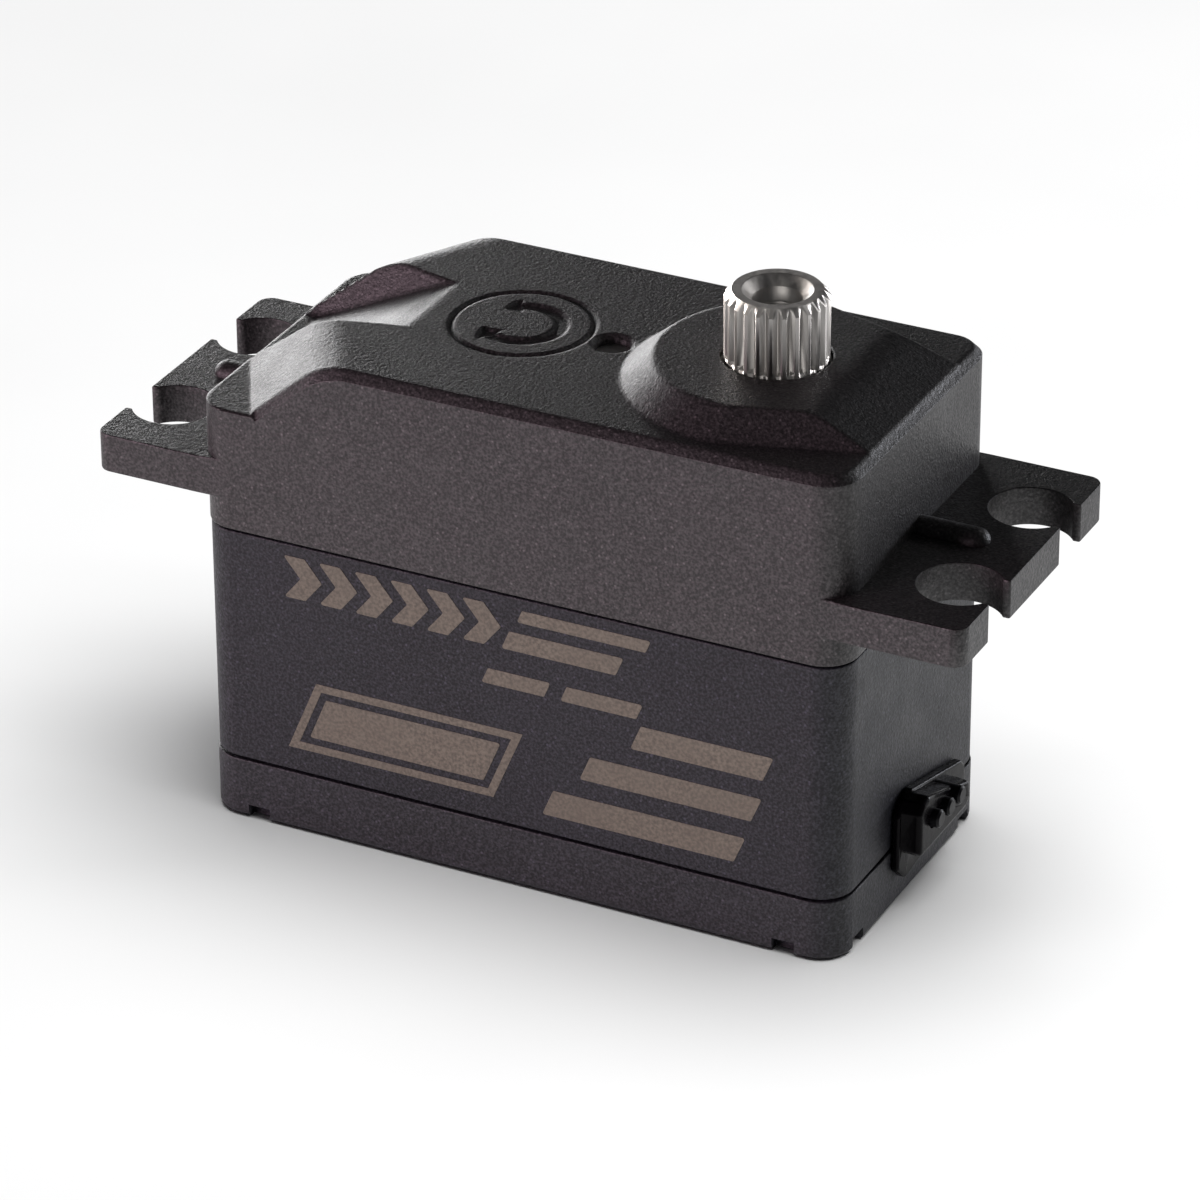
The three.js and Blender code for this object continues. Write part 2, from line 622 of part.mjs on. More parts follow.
function cableGrommet() {
  const { y0, y1, z0, z1 } = GROMMET_NECK;
  const inside = RIGHT - WALL - FIT;
  const flange = plateX(FLANGE_OUTLINE, RIGHT + GROMMET_SEAT, RIGHT + GROMMET_FLANGE);
  const block = plateX(BLOCK_OUTLINE, RIGHT + GROMMET_FLANGE - SOLID_LAP, grommetFace);
  const neck = box(inside - GROMMET_LIP, RIGHT + SOLID_LAP, y0 + FIT, y1 - FIT, z0 + FIT, z1 - FIT);
  const lip = box(inside - 2 * GROMMET_LIP, inside, y0 - GROMMET_LIP, y1 + GROMMET_LIP,
    z0 + FIT, z1 + GROMMET_LIP);
  const holes = leadRows.map((y) => {
    const reach = 2 * (GROMMET_BLOCK + WALL);
    const hole = new THREE.CylinderGeometry(LEAD.radius + RUN, LEAD.radius + RUN, reach, SMALL);
    return solid(hole.rotateZ(Math.PI / 2).translate(RIGHT, y, LEAD.z));
  });
  return join([flange, block, neck, lip]).subtract(join(holes));
}

// round wire along a curve through points
function wire(points, radius, steps) {
  const path = new THREE.CatmullRomCurve3(points.map(([x, y, z]) => new THREE.Vector3(x, y, z)));
  const section = new THREE.Shape();
  section.absarc(0, 0, radius, 0, Math.PI * 2);
  return solid(new THREE.ExtrudeGeometry(section, {
    steps,
    extrudePath: path,
    bevelEnabled: false,
    curveSegments: TINY / 2,
  }));
}

// from a solder joint on the board, over the cover's rim and out through the grommet
function lead(y) {
  return wire([
    [LEAD.footX, y, BOARD.top + FIT],
    [LEAD.footX, y, BOARD.top + LEAD.rise],
    [LEAD.footX + LEAD_LEVEL[0], y, LEAD.z],
    [LEAD.footX + LEAD_LEVEL[1], y, LEAD.z],
    [RIGHT, y, LEAD.z],
    [grommetFace + LEAD_STUB, y, LEAD.z],
  ], LEAD.radius, LEAD.steps);
}

// ---- output shaft, its bearings and the gear train ---------------------------------------------------

function splineOutline() {
  const pitch = 2 * Math.PI / SPLINE_TEETH;
  const points = [];
  for (let tooth = 0; tooth < SPLINE_TEETH; tooth += 1) {
    const middle = tooth * pitch;
    points.push([SPLINE_ROOT, middle - pitch * TOOTH_ROOT_SHARE]);
    points.push([SPLINE_TIP, middle - pitch * TOOTH_TIP_SHARE]);
    points.push([SPLINE_TIP, middle + pitch * TOOTH_TIP_SHARE]);
    points.push([SPLINE_ROOT, middle + pitch * TOOTH_ROOT_SHARE]);
  }
  return polarOutline(points);
}

// the splined end, with the teeth chamfered down from the flat ring on top
function spline() {
  const wide = 2 * SPLINE_TIP - SPLINE_LAND;
  const envelope = turned([
    [0, SPLINE_BOTTOM - OVER],
    [wide, SPLINE_BOTTOM - OVER],
    [wide, SPLINE_TOP - 2 * SPLINE_CHAMFER],
    [SPLINE_LAND, SPLINE_TOP],
    [0, SPLINE_TOP],
  ], 0, 0, FINE);
  return prism(splineOutline(), SPLINE_BOTTOM - SOLID_LAP, SPLINE_TOP).intersect(envelope);
}

// blind hole for the horn screw: thread, counterbore and countersunk mouth
function hornBore() {
  const { radius, depth, mouth, mouthDepth } = HORN_BORE;
  return turned([
    [0, HORN_THREAD.low - HORN_THREAD.point],
    [HORN_THREAD.radius, HORN_THREAD.low],
    [HORN_THREAD.radius, SPLINE_TOP - depth],
    [radius, SPLINE_TOP - depth],
    [radius, SPLINE_TOP - mouthDepth],
    [mouth, SPLINE_TOP],
    [mouth, SPLINE_TOP + OVER],
    [0, SPLINE_TOP + OVER],
  ]);
}

function outputShaft() {
  const [low, high] = OUTPUT_LEVELS;
  const wheel = gearWheel(OUTPUT_WHEEL, Math.PI + Math.PI / OUTPUT_WHEEL.teeth, 0, low, high);
  const core = turned([
    [0, STEM_BOTTOM],
    [STEM_RADIUS, STEM_BOTTOM],
    [STEM_RADIUS, low + SOLID_LAP],
    [HUB_RADIUS, low + SOLID_LAP],
    [HUB_RADIUS, HUB_TOP],
    [BEARING.inner - FIT, HUB_TOP],
    [BEARING.inner - FIT, SPLINE_BOTTOM],
    [0, SPLINE_BOTTOM],
  ], 0, 0, FINE);
  const potBore = cylinder(0, 0, POT_SHAFT.radius + FIT,
    STEM_BOTTOM - OVER, POT_SHAFT.top + POT_SHAFT.endGap, MEDIUM);
  return join([spline(), wheel, core]).subtract(potBore).subtract(hornBore());
}

// carries the first and third gears
function gearPin() {
  return cylinder(PIN_X, 0, PIN_RADIUS, PIN_BOTTOM, PIN_TOP, MEDIUM);
}

function compoundGear(wheel, pinion, x, phases, levels, bore) {
  const [wheelPhase, pinionPhase] = phases;
  const [low, middle, high] = levels;
  return gearWheel(wheel, wheelPhase, x, low, middle)
    .add(gearWheel(pinion, pinionPhase, x, middle - SOLID_LAP, high))
    .subtract(cylinder(x, 0, bore, low - OVER, high + OVER));
}

// each pinion has a tooth where the next wheel has a gap
function firstGear() {
  return compoundGear(FIRST_WHEEL, FIRST_PINION, PIN_X, [Math.PI, 0], FIRST_LEVELS, PIN_RADIUS + RUN);
}

function secondGear() {
  const phases = [Math.PI + Math.PI / SECOND_WHEEL.teeth, Math.PI];
  return compoundGear(SECOND_WHEEL, SECOND_PINION, 0, phases, SECOND_LEVELS, STEM_RADIUS + RUN);
}

function thirdGear() {
  const phases = [Math.PI / THIRD_WHEEL.teeth, 0];
  return compoundGear(THIRD_WHEEL, THIRD_PINION, PIN_X, phases, THIRD_LEVELS, PIN_RADIUS + RUN);
}

const bearingMiddle = (BEARING.low + BEARING.high) / 2;

function bearingOuterRing() {
  const { outerRim, outer, low, high } = BEARING;
  return turned([
    [outerRim, low],
    [outer, low],
    [outer, high],
    [outerRim, high],
    [outerRim, bearingMiddle + GROOVE.half],
    [outerRim + GROOVE.depth, bearingMiddle],
    [outerRim, bearingMiddle - GROOVE.half],
  ]);
}

function bearingInnerRing() {
  const { inner, innerRim, low, high } = BEARING;
  return turned([
    [inner, low],
    [innerRim, low],
    [innerRim, bearingMiddle - GROOVE.half],
    [innerRim - GROOVE.depth, bearingMiddle],
    [innerRim, bearingMiddle + GROOVE.half],
    [innerRim, high],
    [inner, high],
  ]);
}

// ribbon cage with its balls caught in it
function ballCage() {
  const [low, high] = [bearingMiddle - CAGE.half, bearingMiddle + CAGE.half];
  const cage = turned([[CAGE.inner, low], [CAGE.outer, low], [CAGE.outer, high], [CAGE.inner, high]]);
  const balls = [];
  for (let ball = 0; ball < BALLS.count; ball += 1) {
    const angle = ball * 2 * Math.PI / BALLS.count;
    const shape = new THREE.SphereGeometry(BALLS.radius, TINY, TINY / 2);
    shape.translate(BALLS.circle * Math.cos(angle), BALLS.circle * Math.sin(angle), bearingMiddle);
    balls.push(solid(shape));
  }
  return cage.add(join(balls));
}

function lowerBushing() {
  return turned([
    [STEM_RADIUS + RUN, BUSHING_BOTTOM],
    [BUSHING_RADIUS, BUSHING_BOTTOM],
    [BUSHING_RADIUS, MIDDLE_TOP],
    [STEM_RADIUS + RUN, MIDDLE_TOP],
  ]);
}

// ---- motor -----------------------------------------------------------------------------------------

function motorCan() {
  const inside = CAN.radius - CAN.wall;
  const cup = turned([
    [CAN.hole, CAN.top - CAN.wall],
    [inside, CAN.top - CAN.wall],
    [inside, CAN.bottom],
    [CAN.radius, CAN.bottom],
    [CAN.radius, CAN.top - CAN.edge],
    [CAN.radius - CAN.edge, CAN.top],
    [CAN.hole, CAN.top],
  ], MOTOR_X, 0, FINE);
  const holes = [-1, 1].map((side) => cylinder(MOTOR_X, side * MOTOR_SCREW.y, MOTOR_SCREW.radius + FIT,
    CAN.top - CAN.wall - OVER, CAN.top + OVER, SMALL));
  return cup.subtract(join(holes));
}

function motorFrontBushing() {
  return turned([
    [MOTOR_SHAFT.radius + RUN, CAN.top - CAN.wall],
    [CAN.hole - FIT, CAN.top - CAN.wall],
    [CAN.hole - FIT, FRONT_BUSHING_TOP],
    [MOTOR_SHAFT.radius + RUN, FRONT_BUSHING_TOP],
  ], MOTOR_X);
}

function motorScrew(side) {
  const { radius, head, headTop, edge, reach, drive } = MOTOR_SCREW;
  const y = side * MOTOR_SCREW.y;
  const cap = turned([
    [0, MIDDLE_TOP],
    [head, MIDDLE_TOP],
    [head, headTop - edge],
    [head - edge, headTop],
    [0, headTop],
  ], MOTOR_X, y, MEDIUM);
  const shank = cylinder(MOTOR_X, y, radius, CAN.top - MOTOR_SCREW_BITE, MIDDLE_TOP + SOLID_LAP, SMALL);
  return cap.add(shank).subtract(crossRecess(MOTOR_X, y, headTop - drive, headTop + OVER, reach));
}

// annular block about the motor's axis, over an arc centred on middle
function sector(inner, outer, middle, arc, low, high) {
  const shape = new THREE.Shape();
  shape.absarc(0, 0, outer, middle - arc / 2, middle + arc / 2);
  shape.absarc(0, 0, inner, middle + arc / 2, middle - arc / 2, true);
  return prism(shape, low, high).translate([MOTOR_X, 0, 0]);
}

function magnet(side) {
  return sector(MAGNET.inner, MAGNET.outer, side * Math.PI / 2, MAGNET.arc, MAGNET.low, MAGNET.high);
}

function motorShaft() {
  return cylinder(MOTOR_X, 0, MOTOR_SHAFT.radius, MOTOR_SHAFT.bottom, MOTOR_SHAFT.top, MEDIUM);
}

// a part that fits the motor's shaft
function onMotorShaft(part) {
  const hole = cylinder(MOTOR_X, 0, MOTOR_SHAFT.radius + FIT, MOTOR_SHAFT.bottom, MOTOR_SHAFT.top, MEDIUM);
  return part.subtract(hole);
}

function motorPinion() {
  return onMotorShaft(gearWheel(PINION, Math.PI / PINION.teeth, MOTOR_X, ...PINION_LEVELS));
}

function rotorCore() {
  const { hub, neck, neckReach, low, high } = CORE;
  const { inner, outer, arc } = POLE_SHOE;
  const parts = [cylinder(MOTOR_X, 0, hub, low, high, MEDIUM)];
  for (const angle of POLES) {
    parts.push(alongPole(box(hub - neck, neckReach, -neck, neck, low, high), angle));
    parts.push(sector(inner, outer, angle, arc, low, high));
  }
  return onMotorShaft(join(parts));
}

function winding(angle) {
  const { from, to, half, over } = COIL;
  const { neck, low, high } = CORE;
  const coil = box(from, to, -half, half, low - over, high + over);
  const hole = box(from - OVER, to + OVER, -neck - FIT, neck + FIT, low - FIT, high + FIT);
  return alongPole(coil.subtract(hole), angle);
}

function commutator() {
  return onMotorShaft(cylinder(MOTOR_X, 0, COMMUTATOR.radius, COMMUTATOR.low, COMMUTATOR.high, MEDIUM));
}

function motorEndCap() {
  const { hole, hub, hubBottom, bottom, top } = END_CAP;
  const rim = CAN.radius - CAN.wall - FIT;
  const cap = turned([
    [hole, hubBottom],
    [hub, hubBottom],
    [hub, bottom],
    [rim, bottom],
    [rim, top],
    [hole, top],
  ], MOTOR_X, 0, FINE);
  const slots = [-1, 1].map((side) => {
    const half = TERMINAL.half + FIT;
    const reach = TERMINAL.halfThickness + FIT;
    const y = side * TERMINAL.y;
    return box(MOTOR_X - half, MOTOR_X + half, y - reach, y + reach, bottom - OVER, top + OVER);
  });
  return cap.subtract(join(slots));
}

// brush spring, from above the end cap in to the commutator
function motorBrush(side) {
  const near = side * (COMMUTATOR.radius + RUN);
  return box(MOTOR_X - BRUSH.half, MOTOR_X + BRUSH.half, near, side * BRUSH.reach, BRUSH.low, BRUSH.high);
}

// terminal strip from the brush down through the end cap to the circuit board
function motorTerminal(side) {
  const { half, halfThickness, top } = TERMINAL;
  const y = side * TERMINAL.y;
  return box(MOTOR_X - half, MOTOR_X + half, y - halfThickness, y + halfThickness, BOARD.top, top);
}

// ---- potentiometer -----------------------------------------------------------------------------------

function potBody() {
  const inside = POT.radius - POT.wall;
  const hole = POT.hole + RUN;
  return turned([
    [hole, POT.top - POT.step - POT.roof],
    [inside, POT.top - POT.step - POT.roof],
    [inside, POT.bottom],
    [POT.radius, POT.bottom],
    [POT.radius, POT.top - POT.step],
    [hole, POT.top - POT.step],
  ]);
}

function potShaft() {
  return cylinder(0, 0, POT_SHAFT.radius, POT_SHAFT.bottom, POT_SHAFT.top, MEDIUM);
}

function potWiper() {
  const { hub, reach, half, low, armTop, hubTop } = WIPER;
  const disc = cylinder(0, 0, hub, low, hubTop, MEDIUM);
  const arm = box(-reach, 0, -half, half, low, armTop);
  const finger = box(-reach, -WIPER_FINGER.end, -WIPER_FINGER.half, WIPER_FINGER.half,
    WIPER_FINGER.low, WIPER_FINGER.high);
  const bore = cylinder(0, 0, POT_SHAFT.radius + FIT, low - OVER, hubTop + OVER, MEDIUM);
  return join([disc, arm, finger]).subtract(bore);
}

// base disc with the raised resistor track on it
function potBase() {
  const rim = POT.radius - POT.wall - FIT;
  const floor = POT.bottom + POT.wall;
  return turned([
    [0, POT.bottom],
    [rim, POT.bottom],
    [rim, floor],
    [POT_TRACK.outer, floor],
    [POT_TRACK.outer, floor + POT_TRACK.height],
    [POT_TRACK.inner, floor + POT_TRACK.height],
    [POT_TRACK.inner, floor],
    [0, floor],
  ]);
}

function potWire(y) {
  return wire([
    [POT_WIRE.x, y, POT.bottom - FIT],
    [POT_WIRE.x, y, POT.bottom - POT_WIRE.drop],
    [POT_WIRE.footX, y, BOARD.top + POT_WIRE.rise],
    [POT_WIRE.footX, y, BOARD.top + FIT],
  ], POT_WIRE.radius, POT_WIRE.steps);
}

// ---- circuit board -------------------------------------------------------------------------------------

function circuitBoard() {
  const half = HALF_WIDTH - WALL - BOARD_GAP;
  const reach = SCREW_BOSS + BOARD_GAP;
  const plate = box(LEFT + WALL + BOARD_GAP, BOARD.right, -half, half, BOARD.bottom, BOARD.top);
  const notches = atCorners((x, y) => box(x - Math.sign(endFace(x)) * reach, endFace(x),
    y - Math.sign(y) * reach, Math.sign(y) * HALF_WIDTH, BOARD.bottom - OVER, BOARD.top + OVER));
  return plate.subtract(notches);
}

function chip({ x, y, half }) {
  return box(x - half, x + half, y - half, y + half, BOARD.top, BOARD.top + CHIP_HEIGHT);
}

function capacitor() {
  const { x, y, radius, top, edge } = CAPACITOR;
  return turned([[0, BOARD.top], [radius, BOARD.top], [radius, top - edge], [radius - edge, top], [0, top]],
    x, y, MEDIUM);
}

// ---- the assembly --------------------------------------------------------------------------------------

const servo = new THREE.Group();

function addPiece(name, manifold, material) {
  const mesh = new THREE.Mesh(geometryOf(manifold), material);
  mesh.name = name;
  servo.add(mesh);
}

addPiece('top_case', topCase(), topPlastic);
addPiece('middle_case', middleCase(), lowerPlastic);
addPiece('bottom_cover', bottomCover(), lowerPlastic);
corners.forEach(([x, y], i) => addPiece(`case_screw_${i + 1}`, caseScrew(x, y), blackSteel));

addPiece('output_shaft', outputShaft(), steel);
addPiece('upper_bearing_outer_ring', bearingOuterRing(), steel);
addPiece('upper_bearing_inner_ring', bearingInnerRing(), steel);
addPiece('upper_bearing_ball_cage', ballCage(), brass);
addPiece('lower_bushing', lowerBushing(), brass);
addPiece('gear_pin', gearPin(), steel);
addPiece('first_gear', firstGear(), brass);
addPiece('second_gear', secondGear(), steel);
addPiece('third_gear', thirdGear(), steel);

addPiece('motor_can', motorCan(), steel);
addPiece('motor_end_cap', motorEndCap(), palePlastic);
addPiece('motor_front_bushing', motorFrontBushing(), brass);
addPiece('motor_shaft', motorShaft(), steel);
addPiece('motor_pinion', motorPinion(), brass);
addPiece('rotor_core', rotorCore(), magnetGrey);
POLES.forEach((angle, i) => addPiece(`rotor_winding_${i + 1}`, winding(angle), copper));
addPiece('commutator', commutator(), copper);
[1, -1].forEach((side, i) => {
  addPiece(`motor_magnet_${i + 1}`, magnet(side), magnetGrey);
  addPiece(`motor_brush_${i + 1}`, motorBrush(side), brass);
  addPiece(`motor_terminal_${i + 1}`, motorTerminal(side), brass);
  addPiece(`motor_screw_${i + 1}`, motorScrew(side), blackSteel);
});

addPiece('pot_body', potBody(), palePlastic);
addPiece('pot_base', potBase(), resistorTrack);
addPiece('pot_shaft', potShaft(), steel);
addPiece('pot_wiper', potWiper(), brass);
[-1, 0, 1].forEach((row, i) => {
  addPiece(`pot_wire_${i + 1}`, potWire(row * POT_WIRE.pitch), wireColours[i]);
});

addPiece('circuit_board', circuitBoard(), boardGreen);
addPiece('controller_chip', chip(CONTROLLER), chipBlack);
addPiece('driver_chip_1', chip(DRIVER), chipBlack);
addPiece('driver_chip_2', chip({ ...DRIVER, y: -DRIVER.y }), chipBlack);
addPiece('capacitor', capacitor(), magnetGrey);
['lead_signal', 'lead_power', 'lead_ground'].forEach((name, i) => {
  addPiece(name, lead(leadRows[i]), leadBlack);
});
addPiece('cable_grommet', cableGrommet(), rubber);

export default servo;
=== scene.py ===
"""Looks of a compact hobby servo motor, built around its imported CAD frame.

Pieces are built in millimetres and scaled to metres when they are finished. +X points to the output end,
+Z is up, and the origin is on the output shaft's axis, in the plane of the underside.
"""
import math

import bmesh
import bpy
import numpy as np
from mathutils import Matrix, Vector


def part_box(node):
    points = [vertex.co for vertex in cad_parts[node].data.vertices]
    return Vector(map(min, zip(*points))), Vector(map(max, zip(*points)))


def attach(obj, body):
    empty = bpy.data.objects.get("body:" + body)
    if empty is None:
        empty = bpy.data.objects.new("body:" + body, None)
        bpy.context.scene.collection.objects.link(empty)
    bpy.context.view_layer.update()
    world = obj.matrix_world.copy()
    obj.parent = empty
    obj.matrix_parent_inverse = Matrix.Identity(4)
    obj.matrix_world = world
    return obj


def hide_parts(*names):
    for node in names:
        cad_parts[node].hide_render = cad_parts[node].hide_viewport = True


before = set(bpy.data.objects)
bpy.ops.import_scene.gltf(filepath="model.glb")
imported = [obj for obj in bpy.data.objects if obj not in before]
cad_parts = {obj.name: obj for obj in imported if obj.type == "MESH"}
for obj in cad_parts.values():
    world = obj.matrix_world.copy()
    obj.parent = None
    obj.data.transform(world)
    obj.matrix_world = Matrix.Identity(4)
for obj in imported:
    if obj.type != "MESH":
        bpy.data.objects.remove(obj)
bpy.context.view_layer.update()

MM = 0.001


def node_box(name):
    """Lowest and highest corner of a CAD node, in millimetres."""
    low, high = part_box(name)
    return low / MM, high / MM


# ---- dimensions, in millimetres -----------------------------------------------------------------

cover_low, cover_high = node_box("bottom_cover")
middle_low, middle_high = node_box("middle_case")
top_low, top_high = node_box("top_case")
shaft_low, shaft_high = node_box("output_shaft")

SLIVER = 0.001                   # edges shorter than this are merged away
SKIN = 0.03                      # a rebuilt surface lies this far inside its CAD solid
LEFT, RIGHT = cover_low.x, cover_high.x
HALF_WIDTH = cover_high.y
COVER_TOP = cover_high.z
MIDDLE_TOP = middle_high.z
BOSS_TOP = top_high.z
SHAFT_TOP = shaft_high.z
CORNER = 2.1
JOINT = 0.002                    # the shells stop this far short of the plane where they meet
SEAM_GAP = 0.06                  # each outer rim stands this far back from the joint
SEAM_DEPTH = 0.5                 # how deep the open seam between two shells runs
SEAM_EDGE = 0.1                  # rounding of the rims along the two joints
FOOT_EDGE = 0.35                 # rounding of the underside's rim

# top face
TOP_FACE = 30.65
TOP_CHAMFER = 0.55
SHELF_EDGE = 0.12                # chamfer where the corner shelves and the trough meet the end wall
CHAMFER_FADE = 0.25              # the chamfer grows to full size over this height above the shelf
SHELF = 26.57
RAMP_FOOT_X, RAMP_FOOT_Y = -28.26, 9.76
RAMP_TURN = math.radians(29.4)   # in plan, between +X and the way each ramp climbs
RAMP_BLEND = 4.0                 # radius of the curve from a ramp into the top face
CREASE = 0.1                     # softening of the creases between the top's surfaces
TROUGH_HALF = 3.1
TROUGH_FLARE = 0.6               # its sides lean out this far per unit of height
TROUGH_X = (-33, -30.9, -29.7, -23.1, -21.3)   # its floor along the middle, from the end wall
TROUGH_Z = (26.5, 26.5, 27.0, 30.1, 30.75)
GRID = 0.11                      # spacing of the points on the top face

# output boss
BOSS_BASE_RADIUS, BOSS_TOP_RADIUS = 8.7, 6.9
BOSS_BASE_SIDE, BOSS_TOP_SIDE = 8.25, 6.7
BOSS_BASE_END, BOSS_TOP_END = 8.4, 4.8
BOSS_TAPER = math.radians(17)
BOSS_ROUND = 0.16                # rounding of the rim between its top and its sides
BOSS_END_ROUND = 0.5             # rounding where its top falls away towards the end wall

# engraved mark: a ring around a turning arrow
MARK_X = -15.9
MARK_RADIUS = 4.1
MARK_GROOVE = 0.13               # half the width of the ring's groove
MARK_DEPTH = 0.16
MARK_WALL = 0.16                 # horizontal run of the engraving's sloped walls
ARROW_RADIUS = 2.25
ARROW_HALF = 0.38
ARROW_SWEEP = math.radians(118)  # from the arrow's middle to each end
ARROW_HEAD = 1.0
ARROW_SPREAD = 0.85              # half width of a head per unit of its length

# gear pin's hole in the top face
PIN_X = -10.2
PIN_HOLE = 1.0
PIN_RIM = 0.28

# mounting ears
EAR_BOTTOM, EAR_TOP = 20.82, 23.27
EAR_CORNER = 0.9
EAR_HOLE = 2.43                  # radius
EAR_HOLE_IN = 2.41               # from the ear's end to the holes' centres
EAR_HOLE_Y = 5.0
EAR_HOLE_STEPS = 48
EAR_SLOT = 1.45                  # half the width of the slot that opens each hole
EAR_SLOT_ROUND = 0.12
EAR_EDGE = 0.09
RIB_LENGTH = 4.3
RIB_HALF = 0.9
RIB_HEIGHT = 0.8
RIB_STEPS = 16
RIB_SUNK = 0.5                   # depth of the rib's foot inside the ear

# underside
SCREW_PLACES = [(x, y) for x in (-29.3, 6.3) for y in (-7.5, 7.5)]
SCREW_HEAD = 1.68
SCREW_RIM = 0.28
SCREW_SEAT = 1.18
SCREW_SHANK = 0.97
SCREW_TIP = 0.45
SCREW_POINT = 0.65               # length of the tapered point
CROSS_LEVELS = ((-0.5, 1.12, 0.26), (0.1, 1.0, 0.24), (0.78, 0.5, 0.15))   # height, half length, half width

# cable grommet: corners of (y, z, radius)
FLANGE_OUTLINE = [
    (-1.9, 1.63, 0.3), (2.6, 2.23, 0.5), (5.87, 2.63, 0.6), (6.45, 3.3, 0.4), (6.35, 4.85, 0.4),
    (5.85, 5.37, 0.3), (-1.2, 7.15, 0.4), (-2.35, 6.87, 0.5), (-3.02, 6.1, 0.5), (-3.07, 2.7, 0.6),
]
FLANGE_DEPTH, FLANGE_EDGE = 0.5, 0.16
BLOCK_OUTLINE = [
    (-2.75, 3.53, 0.5), (4.0, 3.53, 0.6), (4.55, 4.1, 0.3), (4.35, 5.17, 0.4), (-1.5, 7.1, 0.3),
    (-2.2, 6.95, 0.3), (-2.72, 6.4, 0.3),
]
BLOCK_DEPTH, BLOCK_EDGE = 1.7, 0.32

# leads
LEADS = ("lead_signal", "lead_power", "lead_ground")
LEAD_RADIUS = 0.55
LEAD_RIM = 0.12
LEAD_HIDDEN = 1.0                # length inside the grommet
LEAD_CUT = 0.02                  # how far its end lies inside the CAD lead's

# output spline
SPLINE_TEETH = 25
SPLINE_TIP = 3.0
SPLINE_ROOT = 2.68
TOOTH = (                        # radius, and share of the pitch from the tooth's middle
    (SPLINE_ROOT - 0.01, -0.48), (SPLINE_ROOT + 0.02, -0.44),
    (SPLINE_TIP - 0.03, -0.18), (SPLINE_TIP - 0.01, -0.13),
    (SPLINE_TIP - 0.01, 0.13), (SPLINE_TIP - 0.03, 0.18),
    (SPLINE_ROOT + 0.02, 0.44), (SPLINE_ROOT - 0.01, 0.48),
)
SPLINE_LAND = 2.56               # outer radius of the teeth at the very top
SPLINE_CHAMFER = 0.48
SPLINE_BOTTOM = 32.35
BORE = 1.4
BORE_DEPTH = 1.4
BORE_MOUTH = 2.0
BORE_MOUTH_DEPTH = 0.55
THREAD = 1.1
THREAD_BOTTOM = 28.9
THREAD_PITCH = 0.45
THREAD_CUT = 0.16

# ---- mesh helpers --------------------------------------------------------------------------------


def new_object(name, mesh):
    obj = bpy.data.objects.new(name, mesh)
    bpy.context.scene.collection.objects.link(obj)
    return obj


def object_from(name, points, faces):
    mesh = bpy.data.meshes.new(name)
    mesh.from_pydata(points, [], faces)
    mesh.update()
    return new_object(name, mesh)


def rounded(corners, steps=10):
    """A closed outline from corners of (x, y, radius), each rounded by an arc."""
    points = []
    count = len(corners)
    for i, (x, y, radius) in enumerate(corners):
        corner = Vector((x, y))
        before = Vector(corners[i - 1][:2]) - corner
        after = Vector(corners[(i + 1) % count][:2]) - corner
        if radius <= 0:
            points.append(corner)
            continue
        half = before.angle(after) / 2
        middle = (before.normalized() + after.normalized()).normalized()
        centre = corner + middle * (radius / math.sin(half))
        start = corner + before.normalized() * (radius / math.tan(half)) - centre
        end = corner + after.normalized() * (radius / math.tan(half)) - centre
        swing = start.angle_signed(end)
        for step in range(steps + 1):
            points.append(centre + Matrix.Rotation(-swing * step / steps, 2) @ start)
    return points


def rectangle(x0, x1, y0, y1, radius):
    return rounded([(x0, y0, radius), (x1, y0, radius), (x1, y1, radius), (x0, y1, radius)])


def inset(outline, by):
    """The outline moved inwards; it runs anticlockwise."""
    moved = []
    count = len(outline)
    for i, point in enumerate(outline):
        a = (point - outline[i - 1]).normalized()
        b = (outline[(i + 1) % count] - point).normalized()
        out_a, out_b = Vector((a.y, -a.x)), Vector((b.y, -b.x))
        miter = (out_a + out_b) / (1 + out_a.dot(out_b))
        moved.append(point - miter * by)
    return moved


def stacked(name, rings):
    """A closed skin over matching rings of 3-D points, listed upwards."""
    count = len(rings[0])
    points = [tuple(p) for ring in rings for p in ring]
    faces = [tuple(reversed(range(count)))]
    for ring in range(len(rings) - 1):
        for i in range(count):
            a = ring * count + i
            b = ring * count + (i + 1) % count
            faces.append((a, b, b + count, a + count))
    faces.append(tuple(range(len(points) - count, len(points))))
    return object_from(name, points, faces)


def prism(name, outline, low, high, low_edge=0.0, high_edge=0.0, steps=4):
    """An outline extruded upwards, with its two rims rounded."""
    levels = []
    quarter = math.pi / 2
    if low_edge > 0:
        for step in range(steps + 1):
            turn = quarter * (1 - step / steps)
            levels.append((low_edge * (1 - math.cos(turn)), low + low_edge * (1 - math.sin(turn))))
    else:
        levels.append((0.0, low))
    if high_edge > 0:
        for step in range(steps + 1):
            turn = quarter * step / steps
            levels.append((high_edge * (1 - math.cos(turn)), high - high_edge * (1 - math.sin(turn))))
    else:
        levels.append((0.0, high))
    rings = [[(p.x, p.y, z) for p in inset(outline, by)] for by, z in levels]
    return stacked(name, rings)


def lathe(name, profile, centre=(0.0, 0.0), steps=96):
    """A profile of (radius, height), listed upwards along the outside from axis to axis."""
    bm = bmesh.new()
    chain = [bm.verts.new((r, 0.0, z)) for r, z in profile]
    edges = [bm.edges.new(pair) for pair in zip(chain, chain[1:])]
    bmesh.ops.spin(bm, geom=chain + edges, axis=(0, 0, 1), cent=(0, 0, 0), angle=2 * math.pi,
                   steps=steps, use_merge=True)
    bmesh.ops.remove_doubles(bm, verts=bm.verts, dist=1e-5)
    bmesh.ops.recalc_face_normals(bm, faces=bm.faces)
    bmesh.ops.translate(bm, verts=bm.verts, vec=(centre[0], centre[1], 0))
    mesh = bpy.data.meshes.new(name)
    bm.to_mesh(mesh)
    bm.free()
    return new_object(name, mesh)


